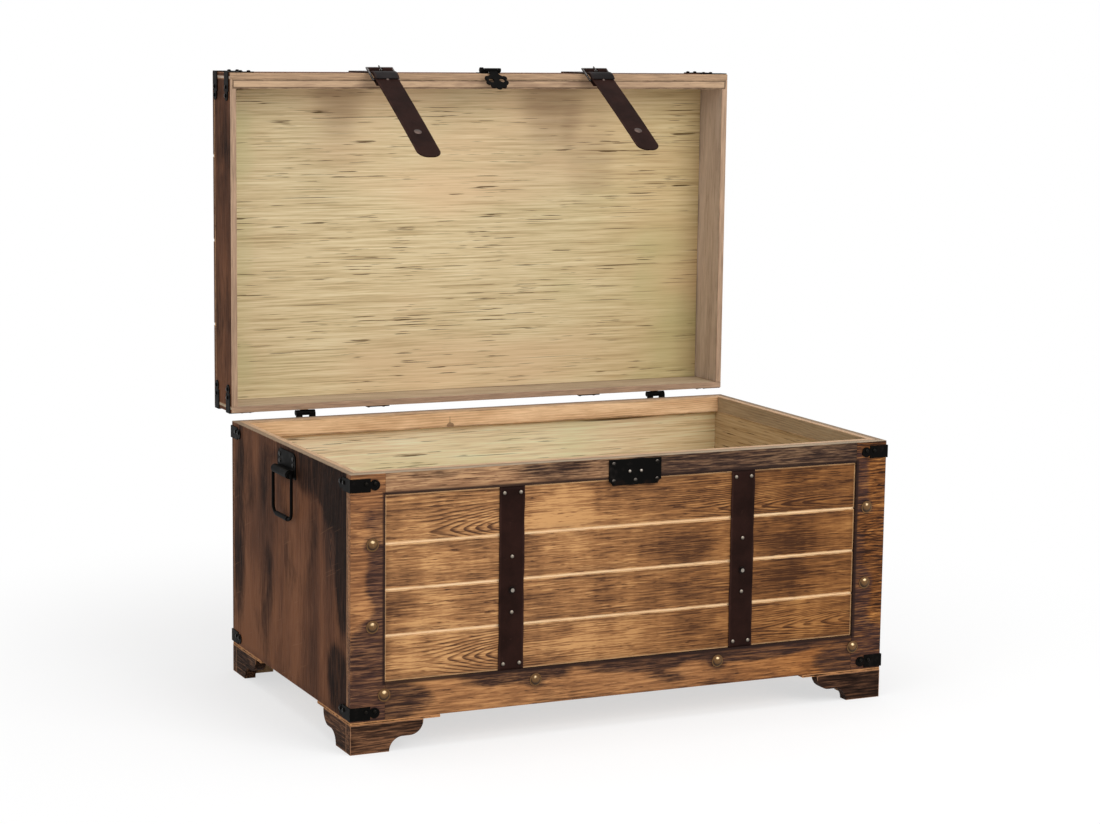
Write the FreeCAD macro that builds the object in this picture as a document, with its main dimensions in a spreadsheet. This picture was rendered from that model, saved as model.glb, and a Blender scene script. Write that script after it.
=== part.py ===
import FreeCAD, Part
import Sketcher
import os
import re

# Lift-lid trunk with its lid standing open at a right angle.
# X runs along the front from left to right, the front faces -Y, Z is up.
# The origin is on the floor, in the middle of the space that the open trunk takes up.

doc = FreeCAD.newDocument("trunk")
sheet = doc.addObject("Spreadsheet::Sheet", "Sizes")

sizes = [
    # whole trunk
    ("trunk_width", 800, "outside width, side to side"),
    ("trunk_depth", 487, "outside depth, front frame to back board"),
    ("body_height", 326, "underside of the body to its rim"),
    ("lid_height", 82, "rim to top of the lid"),
    ("foot_height", 43, "floor to underside of the body"),
    ("board_thick", 9, "side, back, bottom and lid boards"),
    ("edge_round", 0.8, "eased edge of the boards"),
    # front frame and planks
    ("frame_thick", 9, "front stiles and rails"),
    ("stile_width", 48, "front stiles"),
    ("top_rail", 29, "front top rail, height"),
    ("bottom_rail", 50, "front bottom rail, height"),
    ("plank_thick", 6, "front planks"),
    ("top_plank_extra", 4, "how much wider the top plank is than the others"),
    ("plank_round", 0.9, "eased edge of the planks"),
    ("groove_gap", 3, "open width of a groove between planks"),
    ("spline_thick", 2, "loose tongue between two planks"),
    ("spline_reach", 4, "how far a loose tongue goes into a plank"),
    ("spline_play", 0.1, "play of a loose tongue in its slot"),
    # linings and battens
    ("front_lining", 5, "board behind the front frame"),
    ("side_lining", 7, "lining of the sides"),
    ("back_lining", 4, "lining of the back"),
    ("lid_lining", 3, "lining of the lid"),
    ("batten_height", 24, "battens inside the rim"),
    ("front_batten", 10, "front batten, thickness"),
    ("side_batten", 8, "side battens, thickness"),
    ("back_batten", 13, "back batten, thickness"),
    ("lid_batten", 13.5, "batten inside the lid's front rim, thickness"),
    ("batten_house", 6, "how far that batten is let into the lid's side boards"),
    # feet
    ("foot_plate", 4, "plate on top of each foot, thickness"),
    ("plate_overhang", 24, "how far the plate reaches past the brackets"),
    ("bracket_thick", 16, "bracket boards"),
    ("bracket_toe", 54, "bracket's length on the floor"),
    ("bracket_step", 10, "flat between the cove and the lobe"),
    ("bracket_lip", 1, "straight edge above the lobe"),
    ("block_side", 30, "glue block, side"),
    ("block_lift", 4, "glue block above the floor"),
    # leather straps
    ("strap_width", 36, "leather straps"),
    ("strap_thick", 2, "leather straps"),
    ("strap_offset", 173, "middle of the trunk to the middle of a strap"),
    ("strap_tail", 4, "lid's rim to the strap's end at the back"),
    ("strap_gap", 0.3, "lid's rim to the strap's end at the front"),
    ("strap_lift", 0.2, "free strap to the buckle's frame"),
    # buckles and free strap ends
    ("free_length", 228, "left free strap, buckle's bar to the tip"),
    ("free_trim", 12, "right free strap shorter than the left one"),
    ("free_start", 5, "free strap's upper end, from the buckle's bar"),
    ("free_tip", 14, "corner radius at the tip of the free strap"),
    ("free_droop", 31, "free strap below the level, lid open, degrees"),
    ("buckle_rise", 4.6, "buckle's bar above the lid's front board"),
    ("buckle_set", 1, "buckle's bar past the lid's rim"),
    ("buckle_bar", 1.6, "buckle's middle bar, radius"),
    ("buckle_play", 0.7, "strap to the buckle's side bars"),
    ("buckle_wire", 2.4, "width of the buckle's frame"),
    ("buckle_thick", 2.6, "thickness of the buckle's frame"),
    ("buckle_near", 25, "middle bar to the near bar"),
    ("buckle_far", 4.4, "middle bar to the far bar"),
    ("prong_radius", 1.1, "buckle's prong"),
    ("prong_past", 2, "buckle's prong past the far bar"),
    ("prong_slot", 5, "slot for the prong in the strap's eye"),
    ("fold_length", 9, "tail of the strap folded round the near bar"),
    ("pivot_play", 0.06, "running fit of bars and pins"),
    # snap fasteners
    ("ring_drop", 168, "rim to the middle of the snap"),
    ("ring_radius", 4.8, "snap's washer on the front strap"),
    ("ring_thick", 1, "snap's washer on the front strap"),
    ("ring_stud", 2.6, "snap's stud, radius"),
    ("stud_height", 3.2, "snap's stud above the front strap"),
    ("cap_radius", 6.5, "snap's cap on the free strap"),
    ("cap_height", 1.8, "snap's cap above the strap"),
    ("socket_depth", 3.6, "snap's socket below the strap"),
    ("rivet_place", 31, "buckle's bar to the rivet through the fold"),
    ("rivet_radius", 2.6, "rivet through the fold"),
    # small nails
    ("nail_radius", 2.75, "small dome nail"),
    ("nail_height", 2, "small dome nail"),
    ("nail_lip", 0.8, "straight edge under the small nail's dome"),
    ("nail_spread", 11.7, "strap's middle line to a paired nail"),
    ("nail_edge", 8.5, "strap's end to its paired nails"),
    ("upper_nail", 123, "rim to the upper single nail on a strap"),
    ("lower_nail", 198, "rim to the lower single nail on a strap"),
    # large dome nails on the frame
    ("dome_radius", 7.2, "dome nail"),
    ("dome_height", 4, "dome nail"),
    ("dome_rim", 8.6, "dome nail's flat rim, radius"),
    ("dome_rim_thick", 1, "dome nail's flat rim"),
    ("stile_nail_in", 30, "side to the stile's dome nails"),
    ("stile_nail_high", 93, "rim to the upper dome nail"),
    ("stile_nail_low", 201, "rim to the lower dome nail"),
    ("rail_nail_up", 33.5, "underside to the rail's dome nails"),
    ("rail_nail_in", 46.5, "side to the rail's outer dome nails"),
    ("rail_nail_mid", 137.5, "middle to the rail's inner dome nails"),
    # corner irons
    ("iron_thick", 1.5, "corner irons"),
    ("iron_height", 17.5, "corner irons"),
    ("iron_straight", 27, "corner to the end of a leg's straight part"),
    ("iron_head", 7, "round head of a leg, radius"),
    ("iron_leg", 40, "corner to the end of a leg"),
    ("iron_nail_one", 20.8, "corner to the inner nail"),
    ("iron_nail_up", 2, "nails above the middle of the iron"),
    ("iron_rim_drop", 15, "rim to the middle of the iron"),
    ("iron_base_rise", 11, "underside to the middle of the iron"),
    # lock plate
    ("lock_offset", 5.5, "middle of the trunk to the middle of the lock"),
    ("lock_width", 78, "lock plate"),
    ("lock_height", 35, "lock plate"),
    ("lock_thick", 2, "lock plate"),
    ("lock_drop", 2.5, "rim to the top of the lock plate"),
    ("lock_notch", 5, "cut corner of the lock plate, radius"),
    ("lock_screw_in", 6.5, "side of the lock plate to its screws"),
    ("lock_screw_down", 5.8, "top or bottom of the lock plate to its screws"),
    ("stud_spread", 8.6, "lock's middle line to a stud"),
    ("stud_drop", 16.5, "top of the lock plate to its studs"),
    ("stud_radius", 2.4, "lock studs"),
    ("stud_rise", 1.6, "lock studs above the plate"),
    # hasp
    ("hasp_rise", 5, "hasp's pin above the lid's front board"),
    ("hasp_set", 2.5, "hasp's pin inside the lid's rim"),
    ("hasp_droop", 42, "tongue below the level, lid open, degrees"),
    ("hasp_barrel", 3, "hasp's knuckles, radius"),
    ("hasp_pin", 1.5, "hasp's pin, radius"),
    ("hasp_middle", 13, "tongue's knuckle, length"),
    ("hasp_end", 6, "base's knuckles, length of each"),
    ("knuckle_gap", 0.3, "side play between knuckles"),
    ("hasp_plate_thick", 1.2, "hasp's base"),
    ("hasp_plate_deep", 28, "hasp's base along the lid's front board"),
    ("hasp_knob", 4.2, "knob on the hasp's pin, radius"),
    ("hasp_knob_thick", 4.5, "knob on the hasp's pin"),
    ("hasp_knob_neck", 2.5, "knob to the end of the barrel"),
    ("tongue_thick", 2, "tongue"),
    ("tongue_disc", 13.8, "tongue's disc, radius"),
    ("tongue_lobe", 4.6, "scallops round the tongue's disc, radius"),
    ("tongue_hole", 4.2, "tongue's holes for the studs, radius"),
    # hinges
    ("hinge_back", 5, "hinge pin behind the back board"),
    ("hinge_rise", 5.5, "hinge pin above the body's rim"),
    ("lid_gap", 0.6, "gap at the rim under the closed lid"),
    ("hinge_offset", 113, "side of the trunk to the middle of a hinge"),
    ("leaf_width", 44, "hinge leaves"),
    ("leaf_length", 36, "hinge leaves"),
    ("leaf_thick", 1.5, "hinge leaves"),
    ("leaf_clear", 6, "hinge pin to the near edge of a leaf"),
    ("leaf_corner", 5, "hinge leaf's outer corners, radius"),
    ("neck_gap", 0.3, "knuckle's neck to the board it passes"),
    ("knuckle_radius", 4, "hinge knuckles"),
    ("hinge_pin", 2, "hinge pin, radius"),
    ("knuckle_middle", 10, "middle knuckle, length"),
    ("knuckle_end", 9.5, "outer knuckles, length of each"),
    ("leaf_screw_in", 8, "edge of a leaf to its screws"),
    # screws
    ("screw_radius", 3.1, "screw heads"),
    ("screw_height", 1, "screw heads"),
    ("screw_lip", 0.5, "straight edge under the screw head's dome"),
    # side handles
    ("handle_drop", 34, "rim to the bail's axis"),
    ("handle_stand", 8, "bail's axis off the side board"),
    ("handle_plate", 2, "handle plate"),
    ("handle_plate_wide", 72, "handle plate"),
    ("handle_plate_up", 28, "bail's axis to the top of the handle plate"),
    ("handle_plate_down", 7, "bail's axis to the foot of the handle plate"),
    ("handle_corner", 11, "upper corners of the handle plate, radius"),
    ("handle_barrel", 6, "barrel that holds the bail, radius"),
    ("handle_barrel_long", 60, "barrel that holds the bail"),
    ("handle_web", 10, "web from plate to barrel, height"),
    ("handle_screw_in", 9, "side of the handle plate to its screws"),
    ("handle_screw_up", 11, "bail's axis to the lower screws"),
    ("handle_screw_gap", 9, "lower to upper screws"),
    ("bail_wire", 2.2, "bail, radius"),
    ("bail_half", 37.5, "middle of the bail to a leg"),
    ("bail_drop", 62, "bail's axis to its lower bar"),
    ("bail_shoulder", 7, "bail's upper bends, radius"),
    ("bail_elbow", 12, "bail's lower bends, radius"),
    ("bail_collar", 4.8, "bail's collars beside the barrel, radius"),
    ("bail_collar_long", 3, "bail's collars beside the barrel"),
    ("grip_radius", 3.4, "grip on the bail"),
    ("grip_long", 46, "grip on the bail"),
]

for row, (alias, number, note) in enumerate(sizes, 1):
    sheet.set(f"A{row}", note)
    sheet.set(f"B{row}", str(number))
    sheet.setAlias(f"B{row}", alias)
doc.recompute()

known = {alias: f"Sizes.{alias}" for alias, number, note in sizes}


def formula(words):
    # the words of a line of arithmetic as the sheet's cells and the named places
    return re.sub(r"[a-z_]+", lambda found: known.get(found[0], found[0]), str(words))


def name(word, words):
    # a name for a place or size that is worked out from the others
    known[word] = f"({formula(words)})"


def value(words):
    # the number that a line of arithmetic gives now
    return float(sheet.evalExpression(formula(words)))


def bind(item, prop, words):
    item.setExpression(prop, formula(words))


front_planks = 4

# places that the pieces share
name("half_width", "trunk_width / 2")
name("front_y", "-(trunk_depth + hinge_back - hinge_rise + lid_gap + lid_height) / 2")
name("back_y", "front_y + trunk_depth")
name("base_z", "foot_height")
name("rim_z", "foot_height + body_height")
name("axis_y", "back_y + hinge_back")
name("axis_z", "rim_z + hinge_rise")
name("lid_rim_y", "axis_y - hinge_rise + lid_gap")
name("lid_top_y", "lid_rim_y + lid_height")
name("lid_low_z", "axis_z + hinge_back")
name("lid_high_z", "lid_low_z + trunk_depth")
name("frame_back", "front_y + frame_thick")
name("plank_front", "frame_back - plank_thick")
name("inside_front", "frame_back + front_lining")
name("inside_back", "back_y - board_thick")
name("side_face", "half_width - board_thick")
name("field_low", "base_z + bottom_rail")
name("field_high", "rim_z - top_rail")
name("field_width", "trunk_width - 2 * stile_width")
name("plank_pitch", f"(field_high - field_low - top_plank_extra) / {front_planks}")
name("strap_front", "plank_front - strap_thick")
name("free_low", "buckle_thick / 2 + strap_lift")
name("bracket_tall", "foot_height - foot_plate")
name("bracket_curve", "(bracket_tall - bracket_lip) / 2")
name("bracket_long", "bracket_toe + 2 * bracket_curve + bracket_step")
name("plate_long", "bracket_long + plate_overhang")


def place(item, corner, turns=()):
    # turns an item about each axis in the order given, then moves it to its corner
    rotation = FreeCAD.Rotation()
    for axis, degrees in turns:
        rotation = FreeCAD.Rotation(axis, degrees).multiply(rotation)
    item.Placement.Rotation = rotation
    for letter, words in zip("xyz", corner):
        bind(item, f"Placement.Base.{letter}", words)


along_x = FreeCAD.Vector(1, 0, 0)
along_y = FreeCAD.Vector(0, 1, 0)
along_z = FreeCAD.Vector(0, 0, 1)

# turns that lay a piece made facing +Z on a face of the trunk
to_front = [(along_x, 90)]
to_back = [(along_x, -90)]
to_left = [(along_y, -90)]
to_right = [(along_y, 90)]
to_floor = [(along_x, 180)]
lid_open = (along_x, -90)

# turns about the upright
quarter_turn = [(along_z, 90)]
half_turn = [(along_z, 180)]
quarter_back = [(along_z, -90)]


def body(label):
    item = doc.addObject("PartDesign::Body", label)
    item.Label = label
    return item


def box(owner, kind, corner, extent):
    # a box added to a body or cut from it, from its lower corner
    block = owner.newObject(f"PartDesign::{kind}Box", f"{owner.Name}_box")
    for side, words in zip(("Length", "Width", "Height"), extent):
        bind(block, side, words)
    place(block, corner)
    return block


def rod(owner, kind, centre, radius, length, turns=()):
    # a cylinder added to a body or cut from it, from the middle of its lower end
    round_bar = owner.newObject(f"PartDesign::{kind}Cylinder", f"{owner.Name}_rod")
    bind(round_bar, "Radius", radius)
    bind(round_bar, "Height", length)
    place(round_bar, centre, turns)
    return round_bar


def dome(owner, centre, radius, height):
    # half of an ellipsoid standing on its flat side
    cap = owner.newObject("PartDesign::AdditiveEllipsoid", f"{owner.Name}_dome")
    cap.Angle1 = 0
    bind(cap, "Radius1", height)
    bind(cap, "Radius2", radius)
    bind(cap, "Radius3", radius)
    place(cap, centre)
    return cap


def ease(owner, base, radius):
    # rounds every edge of a feature
    doc.recompute()
    edges = owner.newObject("PartDesign::Fillet", f"{owner.Name}_edges")
    edges.Base = (base, [""])
    edges.UseAllEdges = True
    bind(edges, "Radius", radius)
    return edges


def role(owner, plane):
    return [item for item in owner.Origin.OriginFeatures if item.Role == plane][0]


def outline(owner, plane, points, away="0"):
    # a closed outline of straight lines and arcs on one of a body's own planes, or some way off it
    # a point is (across, up), or (across, up, radius) where an arc leads to it
    # a positive radius bends to the left on the way, a negative one to the right
    sketch = owner.newObject("Sketcher::SketchObject", f"{owner.Name}_outline")
    sketch.AttachmentSupport = [(role(owner, plane), "")]
    sketch.MapMode = "FlatFace"
    bind(sketch, "AttachmentOffset.Base.z", away)
    spots = [FreeCAD.Vector(value(point[0]), value(point[1]), 0) for point in points]
    for number, point in enumerate(points):
        start, end = spots[number - 1], spots[number]
        if len(point) == 3:
            radius = value(point[2])
            chord = end - start
            reach = (max(radius ** 2 - chord.Length ** 2 / 4, 0)) ** 0.5
            bulge = (abs(radius) - reach) * (1 if radius > 0 else -1)
            outward = FreeCAD.Vector(chord.y, -chord.x, 0).normalize()
            middle = (start + end) * 0.5 + outward * bulge
            sketch.addGeometry(Part.Arc(start, middle, end))
        else:
            sketch.addGeometry(Part.LineSegment(start, end))
    for number, point in enumerate(points):
        arc_back = len(point) == 3 and value(point[2]) < 0
        last = 1 if arc_back else 2
        following = points[(number + 1) % len(points)]
        next_back = len(following) == 3 and value(following[2]) < 0
        first = 2 if next_back else 1
        after = (number + 1) % len(points)
        sketch.addConstraint(Sketcher.Constraint("Coincident", number, last, after, first))
        for letter, kind, words in (("x", "DistanceX", point[0]), ("y", "DistanceY", point[1])):
            spot = spots[number].x if letter == "x" else spots[number].y
            tag = sketch.addConstraint(Sketcher.Constraint(kind, -1, 1, number, last, spot))
            sketch.renameConstraint(tag, f"{letter}{number}")
            sketch.setExpression(f"Constraints.{letter}{number}", formula(words))
        if len(point) == 3:
            size = abs(value(point[2]))
            tag = sketch.addConstraint(Sketcher.Constraint("Radius", number, size))
            sketch.renameConstraint(tag, f"r{number}")
            sketch.setExpression(f"Constraints.r{number}", formula(f"abs({point[2]})"))
    return sketch


def pad(owner, sketch, length, back=False):
    slab = owner.newObject("PartDesign::Pad", f"{owner.Name}_pad")
    slab.Profile = sketch
    slab.Reversed = back
    bind(slab, "Length", length)
    return slab


def copies(label, shapes):
    # one sub-part made of separate solids: (shape, corner, turns) for each of them
    links = []
    for number, (shape, corner, turns) in enumerate(shapes, 1):
        link = doc.addObject("App::Link", f"{label}_{number}")
        link.LinkedObject = shape
        place(link, corner, turns)
        links.append(link)
    group = doc.addObject("Part::Compound", label)
    group.Label = label
    group.Links = links
    return group


def hung(label, shape, pivot, droop):
    # one sub-part that hangs from its pivot, turned down about X by an angle
    link = doc.addObject("App::Link", f"{label}_hung")
    link.LinkedObject = shape
    link.Placement.Rotation = FreeCAD.Rotation(along_x, value(droop))
    bind(link, "Placement.Rotation.Angle", droop)
    for letter, words in zip("xyz", pivot):
        bind(link, f"Placement.Base.{letter}", words)
    group = doc.addObject("Part::Compound", label)
    group.Label = label
    group.Links = [link]
    return group


nodes = []


def keep(item):
    nodes.append(item)
    return item


def board(label, corner, extent):
    # a board with eased edges, the ease no more than a third of its least side
    item = body(label)
    block = box(item, "Additive", ("0", "0", "0"), extent)
    ease(item, block, f"min(edge_round; ({extent[0]}) / 3; ({extent[1]}) / 3; ({extent[2]}) / 3)")
    place(item, corner)
    return item


def plank(label, corner, extent, slot_below, slot_above):
    # a plank with a slot for a loose tongue along one long edge or both
    length, thick, height = extent
    item = body(label)
    block = box(item, "Additive", ("0", "0", "0"), extent)
    ease(item, block, f"min(plank_round; ({thick} - spline_thick) / 4)")
    slot = (length, "spline_thick + 2 * spline_play", "spline_reach + spline_play")
    cheek = f"({thick} - spline_thick) / 2 - spline_play"
    if slot_below:
        box(item, "Subtractive", ("0", cheek, "0"), slot)
    if slot_above:
        box(item, "Subtractive", ("0", cheek, f"({height}) - spline_reach - spline_play"), slot)
    place(item, corner)
    return item


def tongue_strip(label, length):
    # a loose tongue that bridges the gap between two planks
    item = body(label)
    box(item, "Additive", ("0", "0", "0"), (length, "spline_thick", "groove_gap + 2 * spline_reach"))
    return item


# front frame
stile = ("stile_width", "frame_thick", "body_height")
keep(board("front_left_stile", ("-half_width", "front_y", "base_z"), stile))
keep(board("front_right_stile", ("half_width - stile_width", "front_y", "base_z"), stile))
rail_x = "stile_width - half_width"
keep(board("front_top_rail", (rail_x, "front_y", "field_high"),
           ("field_width", "frame_thick", "top_rail")))
keep(board("front_bottom_rail", (rail_x, "front_y", "base_z"),
           ("field_width", "frame_thick", "bottom_rail")))

# front planks from the lowest to the top one, and the loose tongues between them
grooves = [f"field_low + {number} * plank_pitch" for number in range(1, front_planks)]
low_edges = ["field_low"] + [f"{middle} + groove_gap / 2" for middle in grooves]
high_edges = [f"{middle} - groove_gap / 2" for middle in grooves] + ["field_high"]
for number, (low, high) in enumerate(zip(low_edges, high_edges), 1):
    extent = ("field_width", "plank_thick", f"{high} - ({low})")
    corner = (rail_x, "plank_front", low)
    keep(plank(f"front_plank_{number}", corner, extent, number > 1, number < front_planks))
front_strip = tongue_strip("front_strip", "field_width")
strip_y = "plank_front + (plank_thick - spline_thick) / 2"
keep(copies("front_splines", [
    (front_strip, (rail_x, strip_y, f"{middle} - groove_gap / 2 - spline_reach"), ()) for middle in grooves
]))

# carcass boards
deep = "inside_back - inside_front"
across = "2 * side_face"
keep(board("front_lining", ("-half_width", "frame_back", "base_z"),
           ("trunk_width", "front_lining", "body_height")))
side = ("board_thick", deep, "body_height")
keep(board("left_side_board", ("-half_width", "inside_front", "base_z"), side))
keep(board("right_side_board", ("side_face", "inside_front", "base_z"), side))
keep(board("back_board", ("-half_width", "inside_back", "base_z"),
           ("trunk_width", "board_thick", "body_height")))
keep(board("bottom_board", ("-side_face", "inside_front", "base_z"), (across, deep, "board_thick")))

# linings, from the bottom board up to the battens
lining_z = "base_z + board_thick"
lining_tall = "body_height - board_thick - batten_height"
side = ("side_lining", f"{deep} - back_lining", lining_tall)
keep(board("left_lining", ("-side_face", "inside_front", lining_z), side))
keep(board("right_lining", ("side_face - side_lining", "inside_front", lining_z), side))
keep(board("back_lining", ("-side_face", "inside_back - back_lining", lining_z),
           (across, "back_lining", lining_tall)))

# battens inside the rim
batten_z = "rim_z - batten_height"
keep(board("front_batten", ("-side_face", "inside_front", batten_z),
           (across, "front_batten", "batten_height")))
keep(board("back_batten", ("-side_face", "inside_back - back_batten", batten_z),
           (across, "back_batten", "batten_height")))
side = ("side_batten", f"{deep} - front_batten - back_batten", "batten_height")
side_y = "inside_front + front_batten"
keep(board("left_batten", ("-side_face", side_y, batten_z), side))
keep(board("right_batten", ("side_face - side_batten", side_y, batten_z), side))


def bracket(label, start):
    # a bracket seen from outside, with a cove, a step and a lobe towards the middle of the trunk
    item = body(label)
    sketch = outline(item, "XZ_Plane", [
        (start, "0"),
        ("bracket_toe", "0"),
        ("bracket_toe + bracket_curve", "bracket_curve", "-bracket_curve"),
        ("bracket_toe + bracket_curve + bracket_step", "bracket_curve"),
        ("bracket_long", "2 * bracket_curve", "bracket_curve"),
        ("bracket_long", "bracket_tall"),
        (start, "bracket_tall"),
    ])
    pad(item, sketch, "bracket_thick", back=True)
    return item


# feet: a face bracket and a side bracket under a plate at each corner, with a block in the angle
face_bracket = bracket("face_bracket", "0")
side_bracket = bracket("side_bracket", "bracket_thick")
left, right = "-half_width", "half_width"
keep(copies("foot_face_brackets", [
    (face_bracket, (left, "front_y", "0"), ()),
    (face_bracket, (right, "front_y + bracket_thick", "0"), half_turn),
    (face_bracket, (left, "back_y - bracket_thick", "0"), ()),
    (face_bracket, (right, "back_y", "0"), half_turn),
]))
keep(copies("foot_side_brackets", [
    (side_bracket, ("bracket_thick - half_width", "front_y", "0"), quarter_turn),
    (side_bracket, (right, "front_y", "0"), quarter_turn),
    (side_bracket, (left, "back_y", "0"), quarter_back),
    (side_bracket, ("half_width - bracket_thick", "back_y", "0"), quarter_back),
]))
plate = board("plate", ("0", "0", "0"), ("plate_long", "plate_long", "foot_plate"))
far_x, far_y = "half_width - plate_long", "back_y - plate_long"
keep(copies("foot_plates", [
    (plate, (x, y, "bracket_tall"), ()) for x in (left, far_x) for y in ("front_y", far_y)
]))
block = board("block", ("0", "0", "0"), ("block_side", "block_side", "bracket_tall - block_lift"))
near_x, near_y = "bracket_thick - half_width", "front_y + bracket_thick"
far_x, far_y = "half_width - bracket_thick - block_side", "back_y - bracket_thick - block_side"
keep(copies("foot_blocks", [
    (block, (x, y, "block_lift"), ()) for x in (near_x, far_x) for y in (near_y, far_y)
]))

# lid boards, open: its rim faces the front and its front board is uppermost
lid_wall = "lid_height - board_thick"
lid_inner = "trunk_depth - 2 * board_thick"
lid_front_low = "lid_high_z - board_thick"
level = ("trunk_width", lid_wall, "board_thick")
keep(board("lid_back_board", ("-half_width", "lid_rim_y", "lid_low_z"), level))
keep(board("lid_front_board", ("-half_width", "lid_rim_y", lid_front_low), level))
side = ("board_thick", lid_wall, lid_inner)
lid_left = keep(board("lid_left_board", ("-half_width", "lid_rim_y", "lid_low_z + board_thick"), side))
lid_right = keep(board("lid_right_board", ("side_face", "lid_rim_y", "lid_low_z + board_thick"), side))
housing = ("batten_house", "batten_height", "lid_batten")
box(lid_left, "Subtractive", ("board_thick - batten_house", "0", f"{lid_inner} - lid_batten"), housing)
box(lid_right, "Subtractive", ("0", "0", f"{lid_inner} - lid_batten"), housing)
keep(board("lid_lining", ("-side_face", "lid_top_y - board_thick - lid_lining", "lid_low_z + board_thick"),
           (across, "lid_lining", lid_inner)))
keep(board("lid_front_batten", ("-side_face - batten_house", "lid_rim_y", f"{lid_front_low} - lid_batten"),
           (f"{across} + 2 * batten_house", "batten_height", "lid_batten")))

# lid planks and the loose tongues between them
lid_planks = 4
name("lid_plank", f"(trunk_depth - {lid_planks - 1} * groove_gap) / {lid_planks}")
lid_plank_extent = ("trunk_width", "board_thick", "lid_plank")
origin = ("0", "0", "0")
first_plank = plank("lid_plank_first", origin, lid_plank_extent, False, True)
inner_plank = plank("lid_plank_inner", origin, lid_plank_extent, True, True)
last_plank = plank("lid_plank_last", origin, lid_plank_extent, True, False)
lid_strip = tongue_strip("lid_strip", "trunk_width")
plank_lows = [f"lid_low_z + {number} * (lid_plank + groove_gap)" for number in range(lid_planks)]
plank_y = "lid_top_y - board_thick"
keep(copies("lid_planks", [
    (shape, ("-half_width", plank_y, low), ())
    for shape, low in zip([first_plank, inner_plank, inner_plank, last_plank], plank_lows)
]))
strip_y = "lid_top_y - (board_thick + spline_thick) / 2"
keep(copies("lid_splines", [
    (lid_strip, ("-half_width", strip_y, f"{low} - groove_gap - spline_reach"), ()) for low in plank_lows[1:]
]))

# fasteners, each made facing up
small_nail = body("small_nail")
rod(small_nail, "Additive", origin, "nail_radius", "nail_lip")
dome(small_nail, ("0", "0", "nail_lip"), "nail_radius", "nail_height - nail_lip")
screw = body("screw")
rod(screw, "Additive", origin, "screw_radius", "screw_lip")
dome(screw, ("0", "0", "screw_lip"), "screw_radius", "screw_height - screw_lip")
dome_nail = body("dome_nail")
rod(dome_nail, "Additive", origin, "dome_rim", "dome_rim_thick")
dome(dome_nail, origin, "dome_radius", "dome_height")
snap_stud = body("snap_stud")
rod(snap_stud, "Additive", origin, "ring_radius", "ring_thick")
rod(snap_stud, "Additive", origin, "ring_stud", "stud_height")
lock_stud = body("lock_stud")
dome(lock_stud, origin, "stud_radius", "stud_rise")

# corner iron: its corner at the origin, one leg along the front and one along the left side
corner_iron = body("corner_iron")
straight = "iron_straight + iron_thick"
low = "-iron_height / 2"
head = "iron_leg - iron_head"
box(corner_iron, "Additive", ("-iron_thick", "-iron_thick", low), (straight, "iron_thick", "iron_height"))
box(corner_iron, "Additive", ("-iron_thick", "-iron_thick", low), ("iron_thick", straight, "iron_height"))
rod(corner_iron, "Additive", (head, "0", "0"), "iron_head", "iron_thick", to_front)
rod(corner_iron, "Additive", ("0", head, "0"), "iron_head", "iron_thick", to_left)
iron_nails = copies("iron_nails", [
    (small_nail, (reach, "-iron_thick", "iron_nail_up"), to_front) for reach in ("iron_nail_one", head)
] + [
    (small_nail, ("-iron_thick", reach, "iron_nail_up"), to_left) for reach in ("iron_nail_one", head)
])
iron_corners = [
    (left, "front_y", ()),
    (right, "front_y", quarter_turn),
    (right, "back_y", half_turn),
    (left, "back_y", quarter_back),
]
body_irons = [
    ((x, y, z), turns)
    for z in ("rim_z - iron_rim_drop", "base_z + iron_base_rise")
    for x, y, turns in iron_corners
]
lid_corners = [
    (left, "lid_high_z", ()),
    (right, "lid_high_z", quarter_turn),
    (right, "lid_low_z", half_turn),
    (left, "lid_low_z", quarter_back),
]
lid_irons = [
    ((x, y, z), (*turns, lid_open))
    for y in ("lid_rim_y + iron_rim_drop", "lid_top_y - iron_rim_drop")
    for x, z, turns in lid_corners
]
keep(copies("body_corner_irons", [(corner_iron, corner, turns) for corner, turns in body_irons]))
keep(copies("lid_corner_irons", [(corner_iron, corner, turns) for corner, turns in lid_irons]))

# front straps on the planks
strap = board("strap", origin, ("strap_width", "strap_thick", "field_high - field_low"))
strap_middles = ("-strap_offset", "strap_offset")
keep(copies("front_straps", [
    (strap, (f"{middle} - strap_width / 2", "strap_front", "field_low"), ()) for middle in strap_middles
]))
keep(copies("snap_studs", [
    (snap_stud, (middle, "strap_front", "rim_z - ring_drop"), to_front) for middle in strap_middles
]))
strap_nails = [("0", "rim_z - upper_nail"), ("0", "rim_z - lower_nail")]
strap_nails += [
    (spread, z)
    for spread in ("-nail_spread", "nail_spread")
    for z in ("field_high - nail_edge", "field_low + nail_edge")
]
keep(copies("body_small_nails", [
    (small_nail, (f"{middle} + {spread}", "strap_front", z), to_front)
    for middle in strap_middles
    for spread, z in strap_nails
] + [(iron_nails, corner, turns) for corner, turns in body_irons]))

# dome nails on the frame
dome_spots = [
    ("half_width - stile_nail_in", "rim_z - stile_nail_high"),
    ("half_width - stile_nail_in", "rim_z - stile_nail_low"),
    ("half_width - rail_nail_in", "base_z + rail_nail_up"),
    ("rail_nail_mid", "base_z + rail_nail_up"),
]
keep(copies("dome_nails", [
    (dome_nail, (f"{hand} * ({x})", "front_y", z), to_front) for hand in (-1, 1) for x, z in dome_spots
]))

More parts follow.
